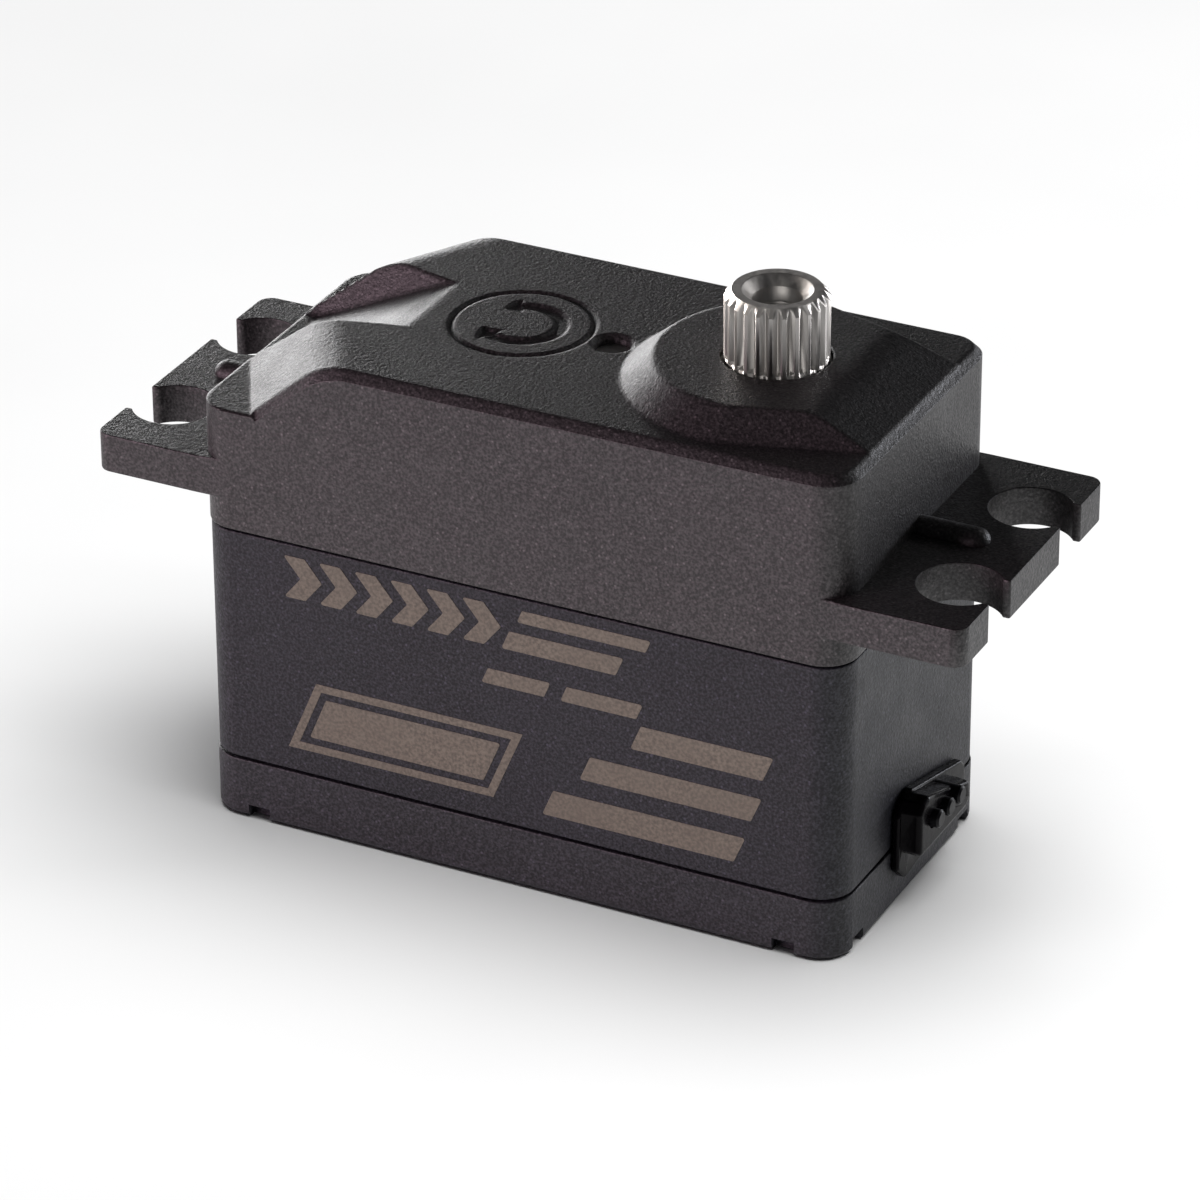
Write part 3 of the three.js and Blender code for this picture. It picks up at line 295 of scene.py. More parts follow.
def combine(target, tool, operation):
    """Joins, cuts or intersects target with tool, and removes tool."""
    modifier = target.modifiers.new("combine", "BOOLEAN")
    modifier.operation = operation
    modifier.solver = "MANIFOLD"
    modifier.object = tool
    graph = bpy.context.evaluated_depsgraph_get()
    result = bpy.data.meshes.new_from_object(target.evaluated_get(graph))
    target.modifiers.clear()
    target.data = result
    bpy.data.objects.remove(tool)
    if not result.polygons:
        raise RuntimeError(f"{target.name} came out empty")
    return target


def join(target, *tools):
    for tool in tools:
        combine(target, tool, "UNION")
    return target


def cut(target, *tools):
    for tool in tools:
        combine(target, tool, "DIFFERENCE")
    return target


def cad_copy(node):
    """A copy of a CAD node's solid in millimetres, with its split corners welded."""
    bm = bmesh.new()
    bm.from_mesh(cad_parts[node].data)
    bmesh.ops.scale(bm, vec=(1 / MM,) * 3, verts=bm.verts)
    bmesh.ops.remove_doubles(bm, verts=bm.verts, dist=1e-4)
    mesh = bpy.data.meshes.new(node)
    bm.to_mesh(mesh)
    bm.free()
    return new_object(node + "_solid", mesh)


def without_slivers(obj):
    """Merges the hair-thin faces that a cut can leave, so that they don't spoil the shading."""
    bm = bmesh.new()
    bm.from_mesh(obj.data)
    bmesh.ops.remove_doubles(bm, verts=bm.verts, dist=SLIVER)
    bmesh.ops.dissolve_degenerate(bm, edges=bm.edges, dist=SLIVER)
    bm.to_mesh(obj.data)
    bm.free()
    return obj


def in_triangles(obj):
    """Splits all faces into triangles, so that a cut through them leaves no face with a hole."""
    bm = bmesh.new()
    bm.from_mesh(obj.data)
    bmesh.ops.triangulate(bm, faces=bm.faces)
    bm.to_mesh(obj.data)
    bm.free()
    return obj


def reskin(node, outside):
    """The CAD solid with its outer surface taken from outside, which lies within it."""
    return combine(cad_copy(node), outside, "INTERSECT")


def shade(obj, angle=32):
    for face in obj.data.polygons:
        face.use_smooth = True
    obj.data.set_sharp_from_angle(angle=math.radians(angle))
    weighted = obj.modifiers.new("weighted_normals", "WEIGHTED_NORMAL")
    weighted.keep_sharp = True


def finished(obj, name, body, material, slot, *nodes):
    """Scales a piece to metres, names it and puts it on its body."""
    obj.data.transform(Matrix.Scale(MM, 4))
    obj.name = name
    obj.data.name = name
    obj.data.materials.clear()
    obj.data.materials.append(material)
    shade(obj)
    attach(obj, body)
    if nodes:
        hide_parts(*nodes)
    return obj


# ---- materials -----------------------------------------------------------------------------------


class Nodes:
    """A material's node tree, with short calls for the nodes used here."""

    def __init__(self, name):
        self.material = bpy.data.materials.new(name)
        self.material.use_nodes = True
        self.tree = self.material.node_tree
        self.surface = self.tree.nodes["Principled BSDF"]
        self.place = self.add("ShaderNodeTexCoord").outputs["Object"]

    def add(self, kind, **settings):
        node = self.tree.nodes.new(kind)
        for key, value in settings.items():
            setattr(node, key, value)
        return node

    def link(self, source, target):
        self.tree.links.new(source, target)

    def noise(self, size, detail=2.0, stretch=(1, 1, 1)):
        """Noise whose blobs are about size millimetres across."""
        mapping = self.add("ShaderNodeMapping")
        mapping.inputs["Scale"].default_value = [s / (size * MM) for s in stretch]
        self.link(self.place, mapping.inputs["Vector"])
        node = self.add("ShaderNodeTexNoise")
        node.inputs["Scale"].default_value = 1.0
        node.inputs["Detail"].default_value = detail
        self.link(mapping.outputs["Vector"], node.inputs["Vector"])
        return node.outputs["Fac"]

    def spots(self, size):
        """Distance to the nearest of points strewn about size millimetres apart."""
        node = self.add("ShaderNodeTexVoronoi")
        node.inputs["Scale"].default_value = 1 / (size * MM)
        self.link(self.place, node.inputs["Vector"])
        return node.outputs["Distance"]

    def remap(self, value, low, high, to_low, to_high):
        node = self.add("ShaderNodeMapRange", clamp=True)
        self.link(value, node.inputs["Value"])
        limits = {"From Min": low, "From Max": high, "To Min": to_low, "To Max": to_high}
        for name, number in limits.items():
            node.inputs[name].default_value = number
        return node.outputs["Result"]

    def maths(self, operation, a, b):
        node = self.add("ShaderNodeMath", operation=operation)
        for socket, value in zip(node.inputs, (a, b)):
            if isinstance(value, (int, float)):
                socket.default_value = value
            else:
                self.link(value, socket)
        return node.outputs["Value"]

    def mix(self, share, a, b):
        """Colour a where share is 0, b where it is 1."""
        node = self.add("ShaderNodeMix", data_type="RGBA")
        self.link(share, node.inputs["Factor"])
        for socket, value in ((node.inputs["A"], a), (node.inputs["B"], b)):
            if isinstance(value, tuple):
                socket.default_value = (*value, 1.0)
            else:
                self.link(value, socket)
        return node.outputs["Result"]

    def edges(self, radius):
        """1 on convex and concave edges, 0 on flat faces."""
        bevel = self.add("ShaderNodeBevel", samples=4)
        bevel.inputs["Radius"].default_value = radius * MM
        geometry = self.add("ShaderNodeNewGeometry")
        dot = self.add("ShaderNodeVectorMath", operation="DOT_PRODUCT")
        self.link(bevel.outputs["Normal"], dot.inputs[0])
        self.link(geometry.outputs["Normal"], dot.inputs[1])
        return self.remap(dot.outputs["Value"], 1.0, 0.86, 0.0, 1.0)

    def bump(self, height, strength, depth):
        node = self.add("ShaderNodeBump")
        node.inputs["Strength"].default_value = strength
        node.inputs["Distance"].default_value = depth * MM
        self.link(height, node.inputs["Height"])
        self.link(node.outputs["Normal"], self.surface.inputs["Normal"])


def scaled(colour, by):
    return tuple(channel * by for channel in colour)


def moulded_plastic(name, colour, rough, speck=4.5, grain=0.045, wear_and_highlight_gain=2.2, sheen=0.5):
    """Moulded plastic: cloudy colour, pale specks, a spark-eroded grain and polished edges, paled partly by
    wear and partly by a painted highlight.
    """
    n = Nodes(name)
    cloud = n.remap(n.noise(6.0, 3.0), 0.3, 0.7, 0.0, 1.0)
    base = n.mix(cloud, scaled(colour, 0.8), scaled(colour, 1.2))
    fine = n.noise(0.17, 4.0)
    base = n.mix(n.remap(fine, 0.42, 0.7, 0.0, 0.7), base, scaled(colour, speck))
    dot = n.remap(n.spots(0.5), 0.06, 0.2, 1.0, 0.0)
    base = n.mix(dot, base, scaled(colour, 1.5 * speck))
    # Edges, convex and concave, are paled partly by real wear and partly by a painted highlight; the same
    # mask makes them a little glossier.
    wear_and_highlight = n.maths("MULTIPLY", n.edges(0.16), n.remap(n.noise(1.2, 3.0), 0.35, 0.65, 0.2, 1.0))
    base = n.mix(wear_and_highlight, base, scaled(colour, wear_and_highlight_gain))
    n.link(base, n.surface.inputs["Base Color"])
    gloss = n.remap(n.noise(2.4, 3.0), 0.3, 0.7, rough - 0.04, rough + 0.04)
    n.link(n.maths("SUBTRACT", gloss, n.maths("MULTIPLY", wear_and_highlight, 0.1)), n.surface.inputs["Roughness"])
    n.link(n.remap(fine, 0.35, 0.65, 0.8 * sheen, 1.2 * sheen), n.surface.inputs["Specular IOR Level"])
    n.bump(n.maths("ADD", n.noise(0.13, 2.0), n.noise(0.3, 1.0)), 0.7, grain)
    return n.material


def metal(name, colour, rough, stretch=(1, 1, 1), streak=0.5, depth=0.004):
    """Machined or drawn metal: fine streaks along the working direction and a painted highlight along the
    edges.
    """
    n = Nodes(name)
    n.surface.inputs["Metallic"].default_value = 1.0
    tone = n.remap(n.noise(streak, 4.0, stretch), 0.3, 0.7, 0.0, 1.0)
    base = n.mix(tone, scaled(colour, 0.86), scaled(colour, 1.08))
    # Painted highlight: every edge, convex and concave, is paled as if light caught it.
    base = n.mix(n.edges(0.08), base, scaled(colour, 1.2))
    n.link(base, n.surface.inputs["Base Color"])
    gloss = n.remap(n.noise(streak, 3.0, stretch), 0.3, 0.7, rough - 0.06, rough + 0.08)
    n.link(gloss, n.surface.inputs["Roughness"])
    n.bump(n.noise(streak / 3, 3.0, stretch), 0.5, depth)
    return n.material


def rubber(name, colour, rough, sheen=0.5):
    n = Nodes(name)
    n.surface.inputs["Specular IOR Level"].default_value = sheen
    base = n.mix(n.remap(n.noise(1.5, 3.0), 0.3, 0.7, 0.0, 1.0), scaled(colour, 0.8), scaled(colour, 1.3))
    # Painted highlight: every edge, convex and concave, is paled as if light caught it.
    n.link(n.mix(n.edges(0.15), base, scaled(colour, 1.8)), n.surface.inputs["Base Color"])
    n.link(n.remap(n.noise(0.9, 3.0), 0.3, 0.7, rough - 0.06, rough + 0.08), n.surface.inputs["Roughness"])
    n.bump(n.noise(0.4, 3.0), 0.5, 0.02)
    return n.material


def printed_ink(name, colour):
    """Thin pad print: the plastic's grain shows through as dark and pale flecks."""
    n = Nodes(name)
    grain = n.remap(n.noise(0.2, 3.0), 0.35, 0.65, 0.0, 1.0)
    base = n.mix(grain, scaled(colour, 0.6), scaled(colour, 1.25))
    n.link(n.mix(n.remap(n.noise(3.0, 2.0), 0.3, 0.7, 0.0, 0.5), base, scaled(colour, 0.85)),
           n.surface.inputs["Base Color"])
    n.link(n.remap(n.noise(0.8, 2.0), 0.3, 0.7, 0.5, 0.62), n.surface.inputs["Roughness"])
    n.bump(n.noise(0.14, 2.0), 0.6, 0.012)
    return n.material


TOP_PLASTIC = moulded_plastic("top_plastic", (0.016, 0.0145, 0.0150), 0.47)
LOWER_PLASTIC = moulded_plastic("lower_plastic", (0.0075, 0.0074, 0.0102), 0.50, sheen=0.34)
COVER_PLASTIC = moulded_plastic("cover_plastic", (0.0085, 0.0082, 0.0108), 0.50, sheen=0.4)
SHAFT_STEEL = metal("shaft_steel", (0.50, 0.48, 0.465), 0.44, stretch=(1, 1, 0.12), streak=0.3)
BLACK_STEEL = metal("black_steel", (0.035, 0.035, 0.037), 0.38)
RUBBER = rubber("rubber", (0.0030, 0.0024, 0.0032), 0.24, sheen=0.06)
LEAD_BLACK = rubber("lead_black", (0.005, 0.005, 0.006), 0.34, sheen=0.14)
INK = printed_ink("tan_ink", (0.138, 0.123, 0.092))

# ---- top case --------------------------------------------------------------------------------------


def soft_min(a, b, radius):
    near = np.maximum(radius - np.abs(a - b), 0) / radius
    return np.minimum(a, b) - near * near * radius / 4


def soft_max(a, b, radius):
    return -soft_min(-a, -b, radius)


def smooth_step(value):
    value = np.clip(value, 0, 1)
    return value * value * (3 - 2 * value)


def edge_distance(x, y):
    """How far a point lies inside the case's outline."""
    over_x = np.abs(x - (LEFT + RIGHT) / 2) - ((RIGHT - LEFT) / 2 - CORNER)
    over_y = np.abs(y) - (HALF_WIDTH - CORNER)
    beyond = np.hypot(np.maximum(over_x, 0), np.maximum(over_y, 0))
    return CORNER - beyond - np.minimum(np.maximum(over_x, over_y), 0)


def ramp_height(x, y):
    """The two corner ramps and their shelves, blended into the top face."""
    uphill = (x - RAMP_FOOT_X) * math.cos(RAMP_TURN) - (np.abs(y) - RAMP_FOOT_Y) * math.sin(RAMP_TURN)
    blend_end = TOP_FACE - SHELF + RAMP_BLEND * math.tan(math.pi / 8)
    blend_run = RAMP_BLEND * math.sin(math.pi / 4)
    back = np.clip(blend_end - uphill, 0, blend_run)
    blend = TOP_FACE - RAMP_BLEND + np.sqrt(RAMP_BLEND ** 2 - back ** 2)
    slope = np.where(uphill > blend_end - blend_run, blend, SHELF + uphill)
    return soft_max(slope, SHELF, CREASE)


def trough_height(x, y):
    floor = np.interp(x, TROUGH_X, TROUGH_Z)
    return floor + soft_max(np.abs(y) - TROUGH_HALF, 0, CREASE) / TROUGH_FLARE


def boss_height(x, y):
    """A cone on the motor side, two straight flanks, and a long slope towards the end wall."""
    rise = BOSS_TOP - TOP_FACE
    side = x * math.sin(BOSS_TAPER) + np.abs(y) * math.cos(BOSS_TAPER)
    cone = (np.hypot(x, y) - BOSS_TOP_RADIUS) / (BOSS_BASE_RADIUS - BOSS_TOP_RADIUS) - np.maximum(x, 0)
    flank = (side - BOSS_TOP_SIDE) / (BOSS_BASE_SIDE - BOSS_TOP_SIDE)
    end = (x - BOSS_TOP_END) / (BOSS_BASE_END - BOSS_TOP_END) + np.maximum(x - BOSS_BASE_END, 0)
    sides = soft_max(rise * soft_max(cone, flank, CREASE), 0, BOSS_ROUND)
    slope = soft_max(rise * end, 0, BOSS_END_ROUND)
    return BOSS_TOP - soft_max(sides, slope, CREASE)


def pin_rim(x, y):
    """Depth of the countersunk rim around the gear pin's hole."""
    return np.clip(PIN_HOLE + PIN_RIM - np.hypot(x - PIN_X, y), 0, PIN_RIM)


def mark_depth(x, y):
    """Depth of the engraved mark: a ring groove around a turning arrow with two heads."""
    across, along = x - MARK_X, y
    radius = np.hypot(across, along)
    angle = np.arctan2(along, across)
    ring = np.abs(radius - MARK_RADIUS) - MARK_GROOVE
    band = np.maximum(np.abs(radius - ARROW_RADIUS) - ARROW_HALF, (np.abs(angle) - ARROW_SWEEP) * radius)
    ahead = (np.abs(angle) - ARROW_SWEEP) * ARROW_RADIUS
    head = np.maximum(-ahead, np.abs(radius - ARROW_RADIUS) - (ARROW_HEAD - ahead) * ARROW_SPREAD)
    inside = np.minimum(ring, np.minimum(band, head))
    return MARK_DEPTH * smooth_step(0.5 - inside / MARK_WALL)


def top_height(x, y):
    face = soft_min(ramp_height(x, y), trough_height(x, y), CREASE)
    face = soft_min(face, TOP_FACE, CREASE)
    chamfer = SHELF_EDGE + (TOP_CHAMFER - SHELF_EDGE) * smooth_step((face - SHELF) / CHAMFER_FADE)
    face = face - soft_max(chamfer - edge_distance(x, y), 0, CREASE)
    face = soft_max(face, boss_height(x, y), CREASE)
    return face - mark_depth(x, y) - pin_rim(x, y) - SKIN


def under_top_face():
    """Everything below the top face, as a block with a finely curved top."""
    margin = 0.6
    columns = round((RIGHT - LEFT + 2 * margin) / GRID)
    rows = round(2 * (HALF_WIDTH + margin) / GRID)
    xs = np.linspace(LEFT - margin, RIGHT + margin, columns + 1)
    ys = np.linspace(-HALF_WIDTH - margin, HALF_WIDTH + margin, rows + 1)
    x, y = np.meshgrid(xs, ys)
    high = np.stack([x, y, top_height(x, y)], axis=-1).reshape(-1, 3)
    across = columns + 1
    faces = [(r * across + c, r * across + c + 1, (r + 1) * across + c + 1, (r + 1) * across + c)
             for r in range(rows) for c in range(columns)]
    rim = list(range(across))
    rim += [r * across + columns for r in range(1, rows + 1)]
    rim += [rows * across + c for c in range(columns - 1, -1, -1)]
    rim += [r * across for r in range(rows - 1, 0, -1)]
    low = high[rim].copy()
    low[:, 2] = MIDDLE_TOP - 2
    count = len(rim)
    first = len(high)
    faces += [(first + i, first + (i + 1) % count, rim[(i + 1) % count], rim[i]) for i in range(count)]
    faces.append(tuple(first + i for i in reversed(range(count))))
    return object_from("under_top_face", np.vstack([high, low]).tolist(), faces)


def case_outline(by):
    """The case's outline in plan, moved inwards."""
    return rectangle(LEFT + by, RIGHT - by, -HALF_WIDTH + by, HALF_WIDTH - by, CORNER - by / 2)


def shell_core(low, high):
    """The part of a shell behind its seams, which reaches the neighbouring shells."""
    return prism("core", case_outline(SEAM_DEPTH), low, high)


def ear_outline(side):
    """Ear plate with its two open holes, anticlockwise, for the +X (1) or -X (-1) end."""
    edge = (top_high.x if side > 0 else -top_low.x) - SKIN
    wall = (RIGHT if side > 0 else -LEFT)
    hole = EAR_HOLE + SKIN / 2
    slot = EAR_SLOT + SKIN / 2
    centre_x = (top_high.x if side > 0 else -top_low.x) - EAR_HOLE_IN
    y_out = HALF_WIDTH - SKIN
    y_root = y_out - 2 * SKIN
    root = wall - CORNER
    points = rounded([(root, -y_root, 0), (wall, -y_out, 0), (edge, -y_out, EAR_CORNER), (edge, 0, 0)])[:-1]
    reach = math.sqrt(hole ** 2 - slot ** 2)
    opening = math.atan2(slot, reach)
    for row in (-1, 1):
        y = row * EAR_HOLE_Y
        low_lip = [(edge, y - slot - 1, 0), (edge, y - slot, EAR_SLOT_ROUND), (centre_x, y - slot, 0)]
        points += rounded(low_lip, 3)[1:-1]
        for step in range(EAR_HOLE_STEPS + 1):
            angle = -opening - (2 * math.pi - 2 * opening) * step / EAR_HOLE_STEPS
            points.append(Vector((centre_x + hole * math.cos(angle), y + hole * math.sin(angle))))
        high_lip = [(centre_x, y + slot, 0), (edge, y + slot, EAR_SLOT_ROUND), (edge, y + slot + 1, 0)]
        points += rounded(high_lip, 3)[1:-1]
    points += rounded([(edge, 0, 0), (edge, y_out, EAR_CORNER), (wall, y_out, 0), (root, y_root, 0)])[1:]
    if side < 0:
        points = [Vector((-p.x, p.y)) for p in reversed(points)]
    return points


def ear_plate(side):
    return prism("ear", ear_outline(side), EAR_BOTTOM + SKIN, EAR_TOP - SKIN, EAR_EDGE, EAR_EDGE, 2)


def ear_rib(side):
    """Half-round bar along the ear's middle, with a ball end."""
    half, height = RIB_HALF - 2 * SKIN, RIB_HEIGHT - 2 * SKIN
    wall = RIGHT if side > 0 else -LEFT
    end = wall + RIB_LENGTH - RIB_HALF
    start = wall - 1.0
    profile = [(0.0, start), (half, start)]
    for step in range(RIB_STEPS + 1):
        angle = math.pi / 2 * step / RIB_STEPS
        profile.append((half * math.cos(angle), end + half * math.sin(angle)))
    rib = lathe("rib", profile, steps=48)
    turn = Matrix.Rotation(side * math.pi / 2, 4, "Y")
    squash = Matrix.Diagonal((1, 1, height / half, 1))
    rib.data.transform(Matrix.Translation((0, 0, EAR_TOP)) @ squash @ turn)
    beyond, beside = 60, 3       # the cutter reaches well past the rib
    lower = rectangle(-beyond, beyond, -beside, beside, 0)
    return cut(rib, prism("below", lower, EAR_TOP - beside, EAR_TOP - RIB_SUNK))


def make_top_case():
    outside = prism("outside", case_outline(SKIN), MIDDLE_TOP + SEAM_GAP, BOSS_TOP + 2, SEAM_EDGE, 0)
    combine(outside, under_top_face(), "INTERSECT")
    join(outside, shell_core(MIDDLE_TOP + JOINT, MIDDLE_TOP + 1))
    for side in (-1, 1):
        join(outside, ear_plate(side), ear_rib(side))
    piece = reskin("top_case", outside)
    return finished(piece, "top_shell", "housing", TOP_PLASTIC, "top_plastic", "top_case")


# ---- middle case and bottom cover --------------------------------------------------------------------


def make_middle_case():
    outline = case_outline(3 * SKIN)
    outside = prism("outside", outline, COVER_TOP + SEAM_GAP, MIDDLE_TOP - SEAM_GAP, SEAM_EDGE, SEAM_EDGE)
    join(outside, shell_core(COVER_TOP + JOINT, MIDDLE_TOP - JOINT))
    piece = without_slivers(reskin("middle_case", outside))
    return finished(piece, "middle_shell", "housing", LOWER_PLASTIC, "lower_plastic", "middle_case")


def make_bottom_cover():
    outside = prism("outside", case_outline(SKIN), SKIN / 2, COVER_TOP - SEAM_GAP, FOOT_EDGE, SEAM_EDGE)
    join(outside, shell_core(COVER_TOP - 1, COVER_TOP - JOINT))
    piece = without_slivers(reskin("bottom_cover", outside))
    return finished(piece, "bottom_shell", "housing", COVER_PLASTIC, "lower_plastic", "bottom_cover")


# ---- output shaft ------------------------------------------------------------------------------------


def spline_outline():
    """Flat-topped teeth with straight flanks and rounded roots."""
    pitch = 2 * math.pi / SPLINE_TEETH
    points = []
    for tooth in range(SPLINE_TEETH):
        for radius, share in TOOTH:
            angle = tooth * pitch + share * pitch
            points.append(Vector((radius * math.cos(angle), radius * math.sin(angle))))
    return points


def horn_bore(top):
    """Cutter for the horn screw's hole: thread, counterbore and a countersunk mouth with soft rims."""
    ledge = top - BORE_DEPTH
    profile = [(0, THREAD_BOTTOM)]
    for turn in range(round((ledge - THREAD_BOTTOM) / THREAD_PITCH)):
        low = THREAD_BOTTOM + turn * THREAD_PITCH
        profile += [(THREAD + SKIN, low), (THREAD + THREAD_CUT, low + THREAD_PITCH / 2)]
    profile += [
        (THREAD + THREAD_CUT, ledge - 0.05),
        (THREAD + THREAD_CUT + 0.05, ledge),
        (BORE + SKIN, ledge),
        (BORE + SKIN, top - BORE_MOUTH_DEPTH - 0.04),
        (BORE + 0.07, top - BORE_MOUTH_DEPTH),
        (BORE_MOUTH - 0.02, top - 0.05),
        (BORE_MOUTH + 0.06, top),
        (BORE_MOUTH + 0.06, top + 1),
        (0, top + 1),
    ]
    return lathe("bore", profile)


def make_output_shaft():
    top = SHAFT_TOP - SKIN
    teeth = prism("teeth", spline_outline(), SPLINE_BOTTOM - 0.5, top)
    wide = 2 * SPLINE_TIP - SPLINE_LAND
    envelope = lathe("envelope", [
        (0, SPLINE_BOTTOM - 1),
        (wide, SPLINE_BOTTOM - 1),
        (wide, top - 2 * SPLINE_CHAMFER),
        (SPLINE_LAND, top),
        (0, top),
    ], steps=200)
    combine(teeth, envelope, "INTERSECT")
    lower = lathe("lower", [(0, 5), (9, 5), (9, SPLINE_BOTTOM - 0.2), (0, SPLINE_BOTTOM - 0.2)])
    join(teeth, lower)
    piece = without_slivers(reskin("output_shaft", cut(teeth, horn_bore(top))))
    return finished(piece, "output_spline_shaft", "output", SHAFT_STEEL, "shaft_steel", "output_shaft")


# ---- cable grommet -----------------------------------------------------------------------------------


def plate_x(name, outline, x0, x1, edge):
    """An outline of (y, z) corners extruded along X, with its outer rim rounded."""
    plate = prism(name, rounded(outline, 8), 0, x1 - x0, 0, edge, 5)
    turn = Matrix(((0, 0, 1, x0), (1, 0, 0, 0), (0, 1, 0, 0), (0, 0, 0, 1)))
    plate.data.transform(turn)
    return in_triangles(plate)


def make_grommet():
    flange = plate_x("flange", FLANGE_OUTLINE, RIGHT - 3, RIGHT + FLANGE_DEPTH - SKIN, FLANGE_EDGE)
    block = plate_x("block", BLOCK_OUTLINE, RIGHT + 0.2, RIGHT + BLOCK_DEPTH - SKIN, BLOCK_EDGE)
    piece = without_slivers(reskin("cable_grommet", join(flange, block)))
    return finished(piece, "rubber_grommet", "housing", RUBBER, "rubber", "cable_grommet")


def make_lead(index, node):
    """Round insulated lead, cut off just outside the grommet."""
    low, high = node_box(node)
    length = high.x - LEAD_CUT - RIGHT + LEAD_HIDDEN
    rim = (LEAD_RADIUS - LEAD_RIM, length)
    profile = [(0, 0), (LEAD_RADIUS, 0), (LEAD_RADIUS, length - LEAD_RIM), rim, (0, length)]
    jacket = lathe("jacket", profile, steps=32)
    start = Matrix.Translation((RIGHT - LEAD_HIDDEN, (low.y + high.y) / 2, high.z - LEAD_RADIUS))
    jacket.data.transform(start @ Matrix.Rotation(math.pi / 2, 4, "Y"))
    return finished(jacket, f"lead_jacket_{index}", "housing", LEAD_BLACK, "lead_black", node)


# ---- screws on the underside -------------------------------------------------------------------------


def cross_recess(x, y):
    """Tapered cross-shaped recess, open downwards."""
    cutter = None
    for along in (0, 1):
        rings = []
        for z, reach, half in CROSS_LEVELS:
            a, b = (reach, half) if along else (half, reach)
            rings.append([(x - a, y - b, z), (x + a, y - b, z), (x + a, y + b, z), (x - a, y + b, z)])
        blade = stacked("blade", rings)
        cutter = blade if cutter is None else join(cutter, blade)
    return cutter


def make_case_screw(index, x, y):
    node = f"case_screw_{index}"
    low, high = node_box(node)
    bottom, tip = low.z + 0.02, high.z - 0.03
    profile = [
        (0, bottom),
        (SCREW_HEAD - 0.45, bottom),
        (SCREW_HEAD - 0.2, bottom + 0.06),
        (SCREW_HEAD - 0.05, low.z + SCREW_RIM),
        (SCREW_HEAD, low.z + SCREW_RIM + 0.15),
        (SCREW_HEAD, SCREW_SEAT),
        (SCREW_SHANK, SCREW_SEAT),
        (SCREW_SHANK, high.z - SCREW_POINT),
        (SCREW_TIP, tip),
        (0, tip),
    ]
    screw = lathe("screw", profile, (x, y), 64)
    cut(screw, cross_recess(x, y))
    return finished(screw, f"cross_screw_{index}", "housing", BLACK_STEEL, "black_steel", node)


# ---- printed graphic on the front face ---------------------------------------------------------------

PRINT_SLANT = 0.42               # sideways run of the slanted ends per unit of height
PRINT_THICKNESS = 0.05
PRINT_EDGE = 0.015
STRIPE_ROUND, CHEVRON_ROUND = 0.12, 0.1
CHEVRONS = 6
CHEVRON_LEFT, CHEVRON_STEP, CHEVRON_WIDTH, CHEVRON_POINT = -26.3, 2.3, 1.4, 1.1
UPPER_ROW = (15.4, 18.1)         # low and high edge of the chevrons
STRIPES = [                      # left, right, low, high of each slanted stripe's box
    (-11.3, -2.9, 17.3, 18.1), (-12.3, -4.6, 15.4, 16.6),
    (-13.6, -9.2, 12.9, 13.9), (-8.6, -3.4, 12.9, 13.9),
    (-4.2, 4.7, 10.9, 12.5), (-7.4, 4.0, 8.1, 9.7), (-9.8, 3.0, 5.2, 6.9),
]
PANEL = (-26.3, -11.0, 5.5, 10.1)
PANEL_LINE, PANEL_GAP = 0.5, 0.45


def slanted(left, right, low, high):
    """Corners of a box whose ends lean over to the right."""
    lean = (high - low) * PRINT_SLANT
    corners = [(left, low), (right - lean, low), (right, high), (left + lean, high)]
    return [(*corner, STRIPE_ROUND) for corner in corners]


def chevron(left, low, high):
    middle = (low + high) / 2
    right = left + CHEVRON_WIDTH
    corners = [(left, low), (right, low), (right + CHEVRON_POINT, middle), (right, high), (left, high)]
    return [(*corner, CHEVRON_ROUND) for corner in [*corners, (left + CHEVRON_POINT, middle)]]


def ink(corners):
    """A thin layer of ink over the middle case's front face, from corners of (x, z, radius)."""
    layer = prism("ink", rounded(corners, 4), 0, PRINT_THICKNESS, 0, PRINT_EDGE, 2)
    face = -HALF_WIDTH + 3 * SKIN + PRINT_THICKNESS / 2
    layer.data.transform(Matrix(((1, 0, 0, 0), (0, 0, -1, face), (0, 1, 0, 0), (0, 0, 0, 1))))
    return layer


def panel(by):
    """The panel's outline, moved inwards on all sides."""
    left, right, low, high = PANEL
    run = by * (math.hypot(1, PRINT_SLANT) + PRINT_SLANT)
    back = by * (math.hypot(1, PRINT_SLANT) - PRINT_SLANT)
    lean = (high - low) * PRINT_SLANT
    return [(left + run, low + by), (right - lean - back, low + by), (right - run, high - by),
            (left + lean + back, high - by)]


def panel_frame():
    """The panel's outline drawn as four mitred strips, and the solid field inside it."""
    outer, inner = panel(0), panel(PANEL_LINE)
    strips = []
    for i in range(4):
        j = (i + 1) % 4
        strips.append([(*point, 0) for point in (outer[i], outer[j], inner[j], inner[i])])
    field = [(*point, STRIPE_ROUND) for point in panel(PANEL_LINE + PANEL_GAP)]
    return [*strips, field]


def make_print():
    shapes = [chevron(CHEVRON_LEFT + CHEVRON_STEP * i, *UPPER_ROW) for i in range(CHEVRONS)]
    shapes += [slanted(*stripe) for stripe in STRIPES]
    shapes += panel_frame()
    bm = bmesh.new()
    for shape in shapes:
        layer = ink(shape)
        bm.from_mesh(layer.data)
        bpy.data.objects.remove(layer)
    mesh = bpy.data.meshes.new("print")
    bm.to_mesh(mesh)
    bm.free()
    finished(new_object("print", mesh), "front_print", "housing", INK, "lower_plastic")


# ---- parts inside ------------------------------------------------------------------------------------


